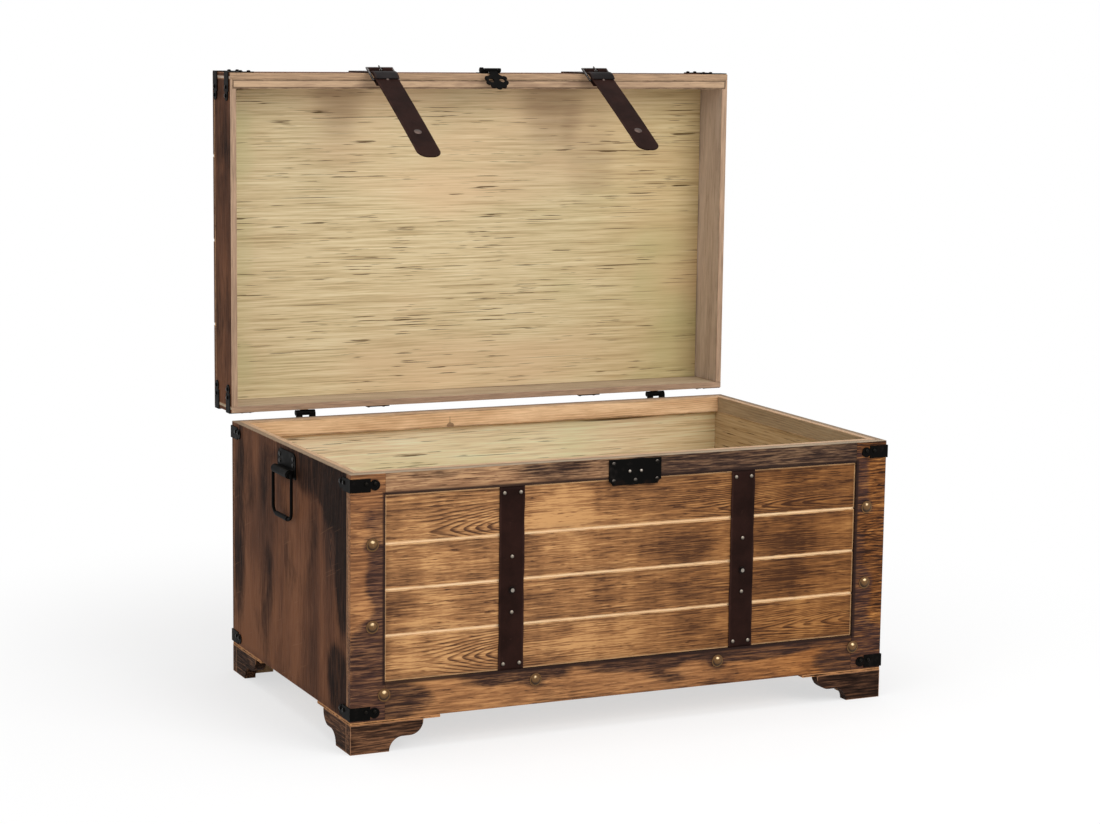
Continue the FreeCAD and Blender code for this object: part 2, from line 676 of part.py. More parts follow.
# lid straps: up the back, over the top and down the front, ending in an eye round the buckle's bar
lid_strap = body("lid_strap")
name("eye_radius", "buckle_bar + pivot_play + strap_thick")
sketch = outline(lid_strap, "YZ_Plane", [
    ("strap_tail", "-strap_thick"),
    ("lid_height", "-strap_thick"),
    ("lid_height + strap_thick", "0", "strap_thick"),
    ("lid_height + strap_thick", "trunk_depth"),
    ("lid_height", "trunk_depth + strap_thick", "strap_thick"),
    ("strap_gap", "trunk_depth + strap_thick"),
    ("strap_gap", "trunk_depth"),
    ("lid_height", "trunk_depth"),
    ("lid_height", "0"),
    ("strap_tail", "0"),
])
pad(lid_strap, sketch, "strap_width")
box(lid_strap, "Additive", ("0", "strap_gap", "trunk_depth"),
    ("strap_width", "eye_radius", "buckle_rise - buckle_bar"))
eye = ("0", "-buckle_set", "trunk_depth + buckle_rise")
rod(lid_strap, "Additive", eye, "eye_radius", "strap_width", to_right)
rod(lid_strap, "Subtractive", eye, "buckle_bar + pivot_play", "strap_width", to_right)
box(lid_strap, "Subtractive",
    ("(strap_width - prong_slot) / 2", "-buckle_set - eye_radius", "trunk_depth + strap_thick"),
    ("prong_slot", "buckle_set + 2 * eye_radius + strap_gap", "2 * buckle_rise"))
keep(copies("lid_straps", [
    (lid_strap, (f"{middle} - strap_width / 2", "lid_rim_y", "lid_low_z"), ()) for middle in strap_middles
]))
tail_nail_y = "lid_rim_y + strap_tail + nail_edge"
keep(copies("lid_small_nails", [
    (small_nail, (f"{middle} + {spread}", tail_nail_y, "lid_low_z - strap_thick"), to_floor)
    for middle in strap_middles
    for spread in ("-nail_spread", "nail_spread")
] + [(iron_nails, corner, turns) for corner, turns in lid_irons]))

# buckle: its middle bar on the origin, the strap running off along -Y
buckle = body("buckle")
inner = "strap_width / 2 + buckle_play"
near_end, far_end = "buckle_near + buckle_wire", "buckle_far + buckle_wire"
box(buckle, "Additive", (f"-({inner} + buckle_wire)", f"-({near_end})", "-buckle_thick / 2"),
    (f"2 * ({inner} + buckle_wire)", f"{near_end} + {far_end}", "buckle_thick"))
ease(buckle, buckle.Tip, "buckle_thick / 3")
box(buckle, "Subtractive", (f"-({inner})", "-buckle_near", "-buckle_thick / 2"),
    (f"2 * ({inner})", "buckle_near + buckle_far", "buckle_thick"))
bar_length = f"2 * ({inner}) + buckle_wire"
rod(buckle, "Additive", (f"-({bar_length}) / 2", "0", "0"), "buckle_bar", bar_length, to_right)
prong_length = f"buckle_bar + {far_end} + prong_past"
rod(buckle, "Additive", ("0", "-buckle_bar", "buckle_bar"), "prong_radius", prong_length, to_back)

fold_top = "free_low + strap_thick"


def free_strap(label, length):
    # free strap end: a flat strap with a round tip, folded round the buckle's near bar
    item = body(label)
    edge = "strap_width / 2"
    plan = outline(item, "XY_Plane", [
        (edge, "-free_start"),
        (f"-{edge}", "-free_start"),
        (f"-{edge}", f"free_tip - ({length})"),
        (f"free_tip - {edge}", f"-({length})", "free_tip"),
        (f"{edge} - free_tip", f"-({length})"),
        (edge, f"free_tip - ({length})", "free_tip"),
    ], "free_low")
    pad(item, plan, "strap_thick")
    fold_inner = "-buckle_near + strap_lift"
    box(item, "Additive", (f"-{edge}", fold_inner, f"-({fold_top})"),
        ("strap_width", "strap_thick", f"2 * ({fold_top})"))
    fold_long = "fold_length + buckle_wire + strap_lift + strap_thick"
    box(item, "Additive", (f"-{edge}", f"{fold_inner} + strap_thick - ({fold_long})", f"-({fold_top})"),
        ("strap_width", fold_long, "strap_thick"))
    return item


# snap cap with its socket under the strap, and the rivet through the fold
snap_cap = body("snap_cap")
dome(snap_cap, origin, "cap_radius", "cap_height")
socket = body("socket")
rod(socket, "Additive", origin, "cap_radius", "socket_depth", to_floor)
rivet = body("rivet")
dome(rivet, origin, "rivet_radius", "cap_height")
cap_y = "-(ring_drop + lid_gap - buckle_set)"
snap_set = copies("snap_set", [
    (snap_cap, ("0", cap_y, fold_top), ()),
    (socket, ("0", cap_y, "free_low"), ()),
    (rivet, ("0", "-rivet_place", fold_top), ()),
])
free_ends = (
    ("left", "-strap_offset", free_strap("free_left", "free_length")),
    ("right", "strap_offset", free_strap("free_right", "free_length - free_trim")),
)
for hand, middle, free_end in free_ends:
    pivot = (middle, "lid_rim_y - buckle_set", "lid_high_z + buckle_rise")
    keep(hung(f"buckle_{hand}", buckle, pivot, "free_droop"))
    keep(hung(f"strap_end_{hand}", free_end, pivot, "free_droop"))
    keep(hung(f"snap_cap_{hand}", snap_set, pivot, "free_droop"))

# lock plate, its top edge on the origin
lock = body("lock_plate")
half = "lock_width / 2"
sketch = outline(lock, "XZ_Plane", [
    (f"-{half}", "0"),
    (f"-{half}", "lock_notch - lock_height"),
    (f"lock_notch - {half}", "-lock_height", "-lock_notch"),
    (f"{half} - lock_notch", "-lock_height"),
    (half, "lock_notch - lock_height", "-lock_notch"),
    (half, "0"),
])
ease(lock, pad(lock, sketch, "lock_thick"), "lock_thick / 5")
lock_top = "rim_z - lock_drop"
place(lock, ("lock_offset", "front_y", lock_top))
keep(lock)
lock_face = "front_y - lock_thick"
keep(copies("lock_studs", [
    (lock_stud, (f"lock_offset + {spread}", lock_face, f"{lock_top} - stud_drop"), to_front)
    for spread in ("-stud_spread", "stud_spread")
]))
lock_screws = [
    (x, z)
    for x in ("lock_screw_in - lock_width / 2", "lock_width / 2 - lock_screw_in")
    for z in ("-lock_screw_down", "lock_screw_down - lock_height")
]
lock_screws.append(("0", "lock_screw_down - lock_height"))

# hasp: base and pin on the lid, made with the pin on the origin
name("hasp_half", "hasp_middle / 2 + knuckle_gap + hasp_end")
hasp_base = body("hasp_base")
box(hasp_base, "Additive", ("-hasp_half", "hasp_barrel", "-hasp_rise"),
    ("2 * hasp_half", "hasp_plate_deep", "hasp_plate_thick"))
for start in ("-hasp_half", "hasp_half - hasp_end"):
    box(hasp_base, "Additive", (start, "0", "-hasp_rise"),
        ("hasp_end", "2 * hasp_barrel", "hasp_rise - hasp_pin"))
    rod(hasp_base, "Additive", (start, "0", "0"), "hasp_barrel", "hasp_end", to_right)
rod(hasp_base, "Subtractive", ("-hasp_half", "0", "0"), "hasp_pin + pivot_play", "2 * hasp_half", to_right)
hasp_pin = body("hasp_pin")
neck_x = "-hasp_half - hasp_knob_neck"
rod(hasp_pin, "Additive", (neck_x, "0", "0"), "hasp_pin", "2 * hasp_half + hasp_knob_neck", to_right)
knob_x = f"{neck_x} - hasp_knob_thick"
rod(hasp_pin, "Additive", (knob_x, "0", "0"), "hasp_knob", "hasp_knob_thick", to_right)
hasp_pivot = ("lock_offset", "lid_rim_y + hasp_set", "lid_high_z + hasp_rise")
place(hasp_base, hasp_pivot)
place(hasp_pin, hasp_pivot)
keep(hasp_base)
keep(hasp_pin)

# hasp tongue: a scalloped disc on a neck, with a hole for each stud
name("stud_reach", "lid_gap + hasp_set + lock_drop + stud_drop")
tongue = body("tongue")
box(tongue, "Additive", ("-hasp_middle / 2", "-stud_reach", "-tongue_thick / 2"),
    ("hasp_middle", "stud_reach", "tongue_thick"))
rod(tongue, "Additive", ("-hasp_middle / 2", "0", "0"), "hasp_barrel", "hasp_middle", to_right)
disc = ("0", "-stud_reach", "-tongue_thick / 2")
rod(tongue, "Additive", disc, "tongue_disc", "tongue_thick")
scallops = 7
scallop_turn = 36
for number in range(scallops):
    angle = f"{(number - scallops // 2) * scallop_turn} deg"
    spot = (f"tongue_disc * sin({angle})", f"-stud_reach - tongue_disc * cos({angle})", "-tongue_thick / 2")
    rod(tongue, "Additive", spot, "tongue_lobe", "tongue_thick")
for spread in ("-stud_spread", "stud_spread"):
    rod(tongue, "Subtractive", (spread, "-stud_reach", "-tongue_thick / 2"), "tongue_hole", "tongue_thick")
rod(tongue, "Subtractive", ("-hasp_middle / 2", "0", "0"), "hasp_pin + pivot_play", "hasp_middle", to_right)
keep(hung("hasp_tongue", tongue, hasp_pivot, "hasp_droop"))


def leaf(label, knuckles):
    # a hinge leaf hanging below its pin, which is on the origin; a knuckle is (start, length)
    item = body(label)
    side_x = "leaf_width / 2"
    low_z = "-leaf_clear - leaf_length"
    plan = outline(item, "XZ_Plane", [
        (f"-{side_x}", "-leaf_clear"),
        (f"-{side_x}", f"{low_z} + leaf_corner"),
        (f"leaf_corner - {side_x}", low_z, "leaf_corner"),
        (f"{side_x} - leaf_corner", low_z),
        (side_x, f"{low_z} + leaf_corner", "leaf_corner"),
        (side_x, "-leaf_clear"),
    ], "hinge_back")
    pad(item, plan, "leaf_thick", back=True)
    for start, length in knuckles:
        box(item, "Additive", (start, "neck_gap - hinge_back", "-leaf_clear - leaf_thick"),
            (length, "hinge_back - neck_gap - hinge_pin", "leaf_clear + leaf_thick"))
        rod(item, "Additive", (start, "0", "0"), "knuckle_radius", length, to_right)
    rod(item, "Subtractive", (f"-{side_x}", "0", "0"), "hinge_pin + pivot_play", "leaf_width", to_right)
    return item


# hinges
name("hinge_half", "knuckle_middle / 2 + knuckle_gap + knuckle_end")
body_leaf = leaf("body_leaf", [("-hinge_half", "knuckle_end"), ("hinge_half - knuckle_end", "knuckle_end")])
lid_leaf = leaf("lid_leaf", [("-knuckle_middle / 2", "knuckle_middle")])
pin = body("pin")
rod(pin, "Additive", ("-hinge_half", "0", "0"), "hinge_pin", "2 * hinge_half", to_right)
hinge_middles = ("hinge_offset - half_width", "half_width - hinge_offset")
on_lid = [(along_z, 180), (along_x, 90)]
keep(copies("hinge_body_leaves", [(body_leaf, (x, "axis_y", "axis_z"), ()) for x in hinge_middles]))
keep(copies("hinge_lid_leaves", [(lid_leaf, (x, "axis_y", "axis_z"), on_lid) for x in hinge_middles]))
keep(copies("hinge_pins", [(pin, (x, "axis_y", "axis_z"), ()) for x in hinge_middles]))
leaf_screws = [
    (x, reach)
    for x in ("leaf_screw_in - leaf_width / 2", "leaf_width / 2 - leaf_screw_in")
    for reach in ("leaf_clear + leaf_screw_in", "leaf_clear + leaf_length - leaf_screw_in")
]
keep(copies("lid_screws", [
    (screw, (f"{middle} + {x}", f"axis_y + {reach}", "lid_low_z - leaf_thick"), to_floor)
    for middle in hinge_middles
    for x, reach in leaf_screws
]))

# side handles: made for the left side with the bail's axis on the origin
handle_plate = body("handle_plate")
half = "handle_plate_wide / 2"
sketch = outline(handle_plate, "YZ_Plane", [
    (f"-{half}", "-handle_plate_down"),
    (half, "-handle_plate_down"),
    (half, "handle_plate_up - handle_corner"),
    (f"{half} - handle_corner", "handle_plate_up", "handle_corner"),
    (f"handle_corner - {half}", "handle_plate_up"),
    (f"-{half}", "handle_plate_up - handle_corner", "handle_corner"),
], "handle_stand - handle_plate")
ease(handle_plate, pad(handle_plate, sketch, "handle_plate"), "handle_plate / 5")
barrel_y = "-handle_barrel_long / 2"
box(handle_plate, "Additive", ("0", barrel_y, "-handle_web / 2"),
    ("handle_stand - handle_plate / 2", "handle_barrel_long", "handle_web"))
barrel_end = ("0", barrel_y, "0")
rod(handle_plate, "Additive", barrel_end, "handle_barrel", "handle_barrel_long", to_back)
rod(handle_plate, "Subtractive", barrel_end, "bail_wire + pivot_play", "handle_barrel_long", to_back)

bail = body("bail")
path = outline(bail, "YZ_Plane", [
    ("bail_half - bail_elbow", "-bail_drop"),
    ("bail_half", "bail_elbow - bail_drop", "bail_elbow"),
    ("bail_half", "-bail_shoulder"),
    ("bail_half - bail_shoulder", "0", "bail_shoulder"),
    ("bail_shoulder - bail_half", "0"),
    ("-bail_half", "-bail_shoulder", "bail_shoulder"),
    ("-bail_half", "bail_elbow - bail_drop"),
    ("bail_elbow - bail_half", "-bail_drop", "bail_elbow"),
])
section = bail.newObject("Sketcher::SketchObject", "bail_section")
section.AttachmentSupport = [(role(bail, "XZ_Plane"), "")]
section.MapMode = "FlatFace"
section.addGeometry(Part.Circle(FreeCAD.Vector(0, -value("bail_drop"), 0), along_z, value("bail_wire")))
section.addConstraint(Sketcher.Constraint("PointOnObject", 0, 3, -2))
for tag, kind, words in (("drop", "DistanceY", "-bail_drop"), ("wire", "Radius", "bail_wire")):
    ends = (-1, 1, 0, 3) if kind == "DistanceY" else (0,)
    number = section.addConstraint(Sketcher.Constraint(kind, *ends, value(words)))
    section.renameConstraint(number, tag)
    bind(section, f"Constraints.{tag}", words)
doc.recompute()
loop = bail.newObject("PartDesign::AdditivePipe", "bail_loop")
loop.Profile = section
loop.Spine = (path, [f"Edge{number}" for number in range(1, path.GeometryCount + 1)])
rod(bail, "Additive", ("0", "-grip_long / 2", "-bail_drop"), "grip_radius", "grip_long", to_back)
collar_in = "handle_barrel_long / 2 + knuckle_gap"
for start in (collar_in, f"-({collar_in} + bail_collar_long)"):
    rod(bail, "Additive", ("0", start, "0"), "bail_collar", "bail_collar_long", to_back)

handle_y = "front_y + trunk_depth / 2"
handle_z = "rim_z - handle_drop"
handle_sides = [
    ("left", ("-half_width - handle_stand", handle_y, handle_z), ()),
    ("right", ("half_width + handle_stand", handle_y, handle_z), half_turn),
]
keep(copies("handle_plates", [(handle_plate, corner, turns) for hand, corner, turns in handle_sides]))
for hand, corner, turns in handle_sides:
    keep(copies(f"handle_bail_{hand}", [(bail, corner, turns)]))

# screws on the body: hinges, lock plate and handles
handle_screws = [
    (y, z)
    for y in (f"handle_screw_in - {half}", f"{half} - handle_screw_in")
    for z in ("handle_screw_up", "handle_screw_up + handle_screw_gap")
]
keep(copies("body_screws", [
    (screw, (f"{middle} + {x}", "back_y + leaf_thick", f"axis_z - ({reach})"), to_back)
    for middle in hinge_middles
    for x, reach in leaf_screws
] + [
    (screw, (f"lock_offset + {x}", lock_face, f"{lock_top} + {z}"), to_front) for x, z in lock_screws
] + [
    (screw, (f"{hand} * (half_width + handle_plate)", f"{handle_y} + {y}", f"{handle_z} + {z}"), turns)
    for hand, turns in ((-1, to_left), (1, to_right))
    for y, z in handle_screws
]))

doc.recompute()
for item in doc.Objects:
    if "Invalid" in item.State or "Error" in item.State:
        raise RuntimeError(f"{item.Label} did not compute: {item.State}")
for item in nodes:
    if item.Shape.isNull() or not item.Shape.isValid() or not item.Shape.Solids:
        raise RuntimeError(f"{item.Label} has no sound solid")

os.makedirs("parts", exist_ok=True)
for item in nodes:
    item.Shape.exportStep(f"parts/{item.Label}.step")
print(len(nodes), "sub-parts,", sum(len(item.Shape.Solids) for item in nodes), "solids")
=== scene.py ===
import bpy
import numpy as np
from mathutils import Matrix, Vector


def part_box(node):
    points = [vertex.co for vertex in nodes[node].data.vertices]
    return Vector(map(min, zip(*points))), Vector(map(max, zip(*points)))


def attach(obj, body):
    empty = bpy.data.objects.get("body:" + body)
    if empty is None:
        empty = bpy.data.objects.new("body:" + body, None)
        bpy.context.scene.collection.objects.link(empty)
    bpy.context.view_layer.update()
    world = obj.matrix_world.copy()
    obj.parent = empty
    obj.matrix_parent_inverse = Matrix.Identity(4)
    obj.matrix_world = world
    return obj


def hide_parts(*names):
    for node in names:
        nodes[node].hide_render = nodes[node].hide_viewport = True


# Lift-lid trunk, lid open. Metres, +Z up, the front faces -Y.

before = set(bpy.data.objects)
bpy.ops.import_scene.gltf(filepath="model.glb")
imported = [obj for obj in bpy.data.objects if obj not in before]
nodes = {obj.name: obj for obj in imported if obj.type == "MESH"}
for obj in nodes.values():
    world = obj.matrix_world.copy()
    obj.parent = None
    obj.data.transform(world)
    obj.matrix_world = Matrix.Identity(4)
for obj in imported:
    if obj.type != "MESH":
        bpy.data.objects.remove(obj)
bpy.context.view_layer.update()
scene = bpy.context.scene
print("frame:", len(nodes), "pieces of the trunk")

trunkMiddle = -0.04105  # y of the body's middle
rimZ = 0.369            # top edge of the body
lidRimY = 0.20255       # rim of the open lid
strapX = 0.173          # the straps' middle line, on both sides of the trunk's own
hands = {"left": -1, "right": 1}


def tint(red, green, blue, share=1.0):
    # a share of a colour as the screen shows it, 0 to 255, in linear light: the sRGB curve undone
    c = share * np.array([red, green, blue]) / 255
    line = np.where(c <= 0.04045, c / 12.92, ((c + 0.055) / 1.055) ** 2.4)
    return (*line.tolist(), 1.0)


def show(name, data):
    item = bpy.data.objects.new(name, data)
    scene.collection.objects.link(item)
    return item


class Wiring:
    # the nodes of a material or of the world

    def __init__(self, owner):
        owner.use_nodes = True
        self.tree = owner.node_tree
        self.tree.nodes.clear()

    def feed(self, socket, value):
        if isinstance(value, bpy.types.NodeSocket):
            self.tree.links.new(value, socket)
        else:
            socket.default_value = value

    def put(self, kind, sockets=None, **settings):
        node = self.tree.nodes.new(kind)
        for key, value in settings.items():
            setattr(node, key, value)
        for key, value in (sockets or {}).items():
            self.feed(node.inputs[key], value)
        return node

    def sum(self, operation, *values):
        node = self.put("ShaderNodeMath", operation=operation)
        for socket, value in zip(node.inputs, values):
            self.feed(socket, value)
        return node.outputs[0]

    def chain(self, operation, values):
        total = values[0]
        for value in values[1:]:
            total = self.sum(operation, total, value)
        return total

    def add(self, *values):
        return self.chain("ADD", values)

    def times(self, *values):
        return self.chain("MULTIPLY", values)

    def minus(self, value, taken):
        return self.sum("SUBTRACT", value, taken)

    def centred(self, value, much):
        # a noise from 0 to 1, moved to both sides of 0
        return self.times(self.minus(value, 0.5), much)

    def distance(self, value, place):
        return self.sum("ABSOLUTE", self.minus(value, place))

    def step(self, value, low, high, start=0.0, end=1.0):
        # smooth step from start to end as the value goes from low to high
        node = self.put("ShaderNodeMapRange", {
            "Value": value, "From Min": low, "From Max": high, "To Min": start, "To Max": end,
        }, interpolation_type="SMOOTHSTEP")
        return node.outputs["Result"]

    def seen(self):
        # 1 for what the camera sees, by itself, in a reflection or through glass
        rays = self.put("ShaderNodeLightPath").outputs
        kinds = ("Camera", "Glossy", "Transmission")
        return self.chain("MAXIMUM", [rays[f"Is {kind} Ray"] for kind in kinds])


class Finish(Wiring):
    # one material, worked out from the piece's own coordinates

    def __init__(self, name):
        self.material = bpy.data.materials.new(name)
        super().__init__(self.material)
        coords = self.put("ShaderNodeTexCoord")
        self.place = coords.outputs["Object"]
        self.normal = coords.outputs["Normal"]
        split = self.put("ShaderNodeSeparateXYZ", {"Vector": self.place})
        self.axis = {letter: split.outputs[letter.upper()] for letter in "xyz"}

    def noise(self, stretch, seed, detail=3.0, rough=0.55, twist=0.0, turn=None):
        # noise with so many waves in a metre, one number or one each for x, y and z, turned first if asked
        place = self.place
        if turn:
            place = self.put("ShaderNodeMapping", {"Vector": place, "Rotation": turn}).outputs[0]
        spread = self.put("ShaderNodeMapping", {
            "Vector": place,
            "Scale": np.broadcast_to(stretch, 3).tolist(),
            "Location": (seed * 3.17, seed * 1.31, seed * 7.7),
        })
        node = self.put("ShaderNodeTexNoise", {
            "Vector": spread.outputs[0], "Scale": 1.0,
            "Detail": detail, "Roughness": rough, "Distortion": twist,
        })
        return node.outputs["Fac"]

    def grain(self, axes, seed, waves):
        # noise with one number of waves along the grain and another across it
        long, short, order, *rest = waves
        scale = dict(zip(axes, (long, short, short)))
        return self.noise([scale[letter] for letter in "xyz"], seed + order, *rest)

    def mix(self, amount, first, second, way="MIX"):
        node = self.put("ShaderNodeMix", data_type="RGBA", blend_type=way)
        self.feed(node.inputs[0], amount)
        self.feed(node.inputs[6], first)
        self.feed(node.inputs[7], second)
        return node.outputs[2]

    def ramp(self, value, stops):
        # colours along a value, each stop (place, colour)
        node = self.put("ShaderNodeValToRGB", {"Fac": value})
        band = node.color_ramp
        while len(band.elements) < len(stops):
            band.elements.new(0.5)
        for element, (place, colour) in zip(band.elements, stops):
            element.position = place
            element.color = colour
        return node.outputs["Color"]

    def edge(self, place, low, high):
        # on a box's face one of the three distances to the faces is 0,
        # and the middle one of the three is the distance to the nearest edge
        reach = []
        for letter, start, end in zip("xyz", low, high):
            reach.append(self.minus((end - start) / 2, self.distance(place[letter], (start + end) / 2)))
        least, most = self.chain("MINIMUM", reach), self.chain("MAXIMUM", reach)
        return self.minus(self.minus(self.add(*reach), least), most)

    def shade(self, colour, rough, height, strength, depth, **sockets):
        shader = self.put("ShaderNodeBsdfPrincipled", {"Base Color": colour, "Roughness": rough})
        for key, value in sockets.items():
            self.feed(shader.inputs[key.replace("_", " ")], value)
        relief = self.put("ShaderNodeBump", {"Strength": strength, "Distance": depth, "Height": height})
        self.feed(shader.inputs["Normal"], relief.outputs["Normal"])
        self.put("ShaderNodeOutputMaterial", {"Surface": shader.outputs[0]})
        return self.material


def paint(material, *names):
    for name in names:
        mesh = nodes[name].data
        if mesh.materials:
            mesh.materials[0] = material
        else:
            mesh.materials.append(material)


# Wood. On a board's face the year rings are lines along the grain, a ring's width apart,
# and where the saw ran out of them they close in nested arches:
# phase = distance from the arches' middle line / ring width
#         - a smooth step of so many rings along the grain, dying out away from that line.
woodPlain = {
    "grain": "xzy",       # axis along the grain, across it, through the board
    "light": (198, 150, 99), "middle": (156, 110, 70), "dark": (80, 52, 35),
    "stops": (0.06, 0.42, 1.0),
    "heart": 0.0,         # place across of the arches' middle line
    "arches": (),         # (place along, reach, number of rings)
    "archWidth": 0.05,    # how far from the middle line the arches reach
    "archTip": 0.000012,  # rounds their tips
    "ringWidth": 0.0058,
    "rings": 0.34,
    "archRings": 0.0,     # how much stronger the rings show in the arches
    "fibre": 1.5, "broad": 0.8, "streaks": 0.55,
    "waviness": 0.007,
    "tones": (),          # darker or lighter spots: (along, across, reach along, reach across, how much)
    "burn": (56, 37, 35),
    "burnFrom": 0.64,     # cloud above which the wood is scorched
    "burnTo": 0.86, "burnDeep": 0.95,
    "grit": 0.6,          # how far the grain breaks up a scorched patch
    "smears": 0.0,        # soft smears across the grain, running on from board to board
    "boards": None,       # (lowest edge, pitch) of several boards side by side
    "endGrain": None,     # stain on the faces across the grain
    "burns": (),          # scorched spots, written as the tones are
    "pale": (226, 180, 130), "paleEdge": 0.0014, "paleDeep": 0.7,
    "soilAndShadeEdge": 0.012, "soilAndShadeDeep": 0.3, "soilAndShadePatch": (0.35, 0.65),
    "fieldStainAndShadow": 0.0,         # dark line beside the sunk field of planks: dark stain and a painted shadow of the gap round it
    "lip": 0.0,           # pale line round the field, on the planks
    "fade": None,         # (axis, from, to, tint at the far end, how much darker its tone is)
    "inner": None,        # (axis, from, to): beyond it the board is left unstained
    "innerTones": ((208, 188, 170), (184, 164, 146), (134, 114, 100)),
    "raw": None,          # (axis, place, colour): the bare edge at the rim
    "scratches": 0.0,
    "roughness": 0.6, "gloss": 0.09,
}
# waves in a metre along the grain and across it, step of the seed, detail, roughness, twist if any
woodNoise = {
    "wave": (4.5, 14, 0, 3, 0.5),        # bends of the rings
    "fibre": (26, 480, 1, 4, 0.66),
    "broad": (5.0, 30, 2, 4, 0.6, 0.3),  # lighter and darker bands
    "hair": (44, 560, 3, 2, 0.6),        # fine streaks
    "drift": (7, 40, 4, 2),              # rings drawn together and apart
    "cloud": (9, 15, 5, 4, 0.6, 0.4),    # scorched patches
    "dirt": (20, 30, 6, 4, 0.6),         # dirt beside the edges
    "rub": (45, 110, 7, 3, 0.6),         # stain rubbed off the edges
    "smear": (17, 4, 0, 3, 0.6),
}
smearSeed = 77.0  # the same for every board, so that the smears run on
# smooth steps in the wood: the value at which each starts and is full
woodSteps = {
    "shown": (0.3, 0.62),     # broad bands in which the rings show
    "late": (0.3, 0.86),     # dark late wood, in shares of a ring
    "early": (1.0, 0.9),
    "streak": (0.58, 0.7), "grit": (0.3, 0.62), "char": (0.3, 0.7),
    "burntRing": (0.6, 0.1),  # late wood that stands out of a scorched patch
    "endFace": (0.7, 0.9),
    "fieldShadowLine": (0.0055, 0.0022), "lip": (-0.0027, -0.0014),
    "scored": (0.67, 0.75), "scoredPatch": (0.4, 0.6),
    "rawFibre": (0.25, 0.8), "rawEdge": (0.0009, 0.0004),
}
boardLot = {"stride": 1.37, "arches": 0.6, "tone": 0.3}  # how one board differs from the next
hillFoot = 1.6  # where a spot ends: square of the distance, in reaches
scratchLook = {
    "spread": 9, "line": (70, 12, 300),             # waves in a metre
    "leans": ((0.35, 8), (-0.75, 10), (0.95, 11)),  # angle of each set, step of the seed
}
sunkField = {
    "half": (0.352, 0.1235),  # half its width and height on the front
    "middle": 0.2165, "dark": (34, 21, 18),
    "ragged": 0.003,          # how far the grain pulls the dark line about
    "uneven": 0.0012,         # how far the pale line wanders
}


def spots(f, u, v, total, marks):
    # adds to a value, for each mark, a smooth round hill in its own reach along and across
    for spotAlong, spotAcross, longReach, shortReach, much in marks:
        du = f.sum("DIVIDE", f.minus(u, spotAlong), longReach)
        dv = f.sum("DIVIDE", f.minus(v, spotAcross), shortReach)
        square = f.add(f.times(du, du), f.times(dv, dv))
        total = f.add(total, f.step(square, hillFoot, 0.0, 0.0, much))
    return total


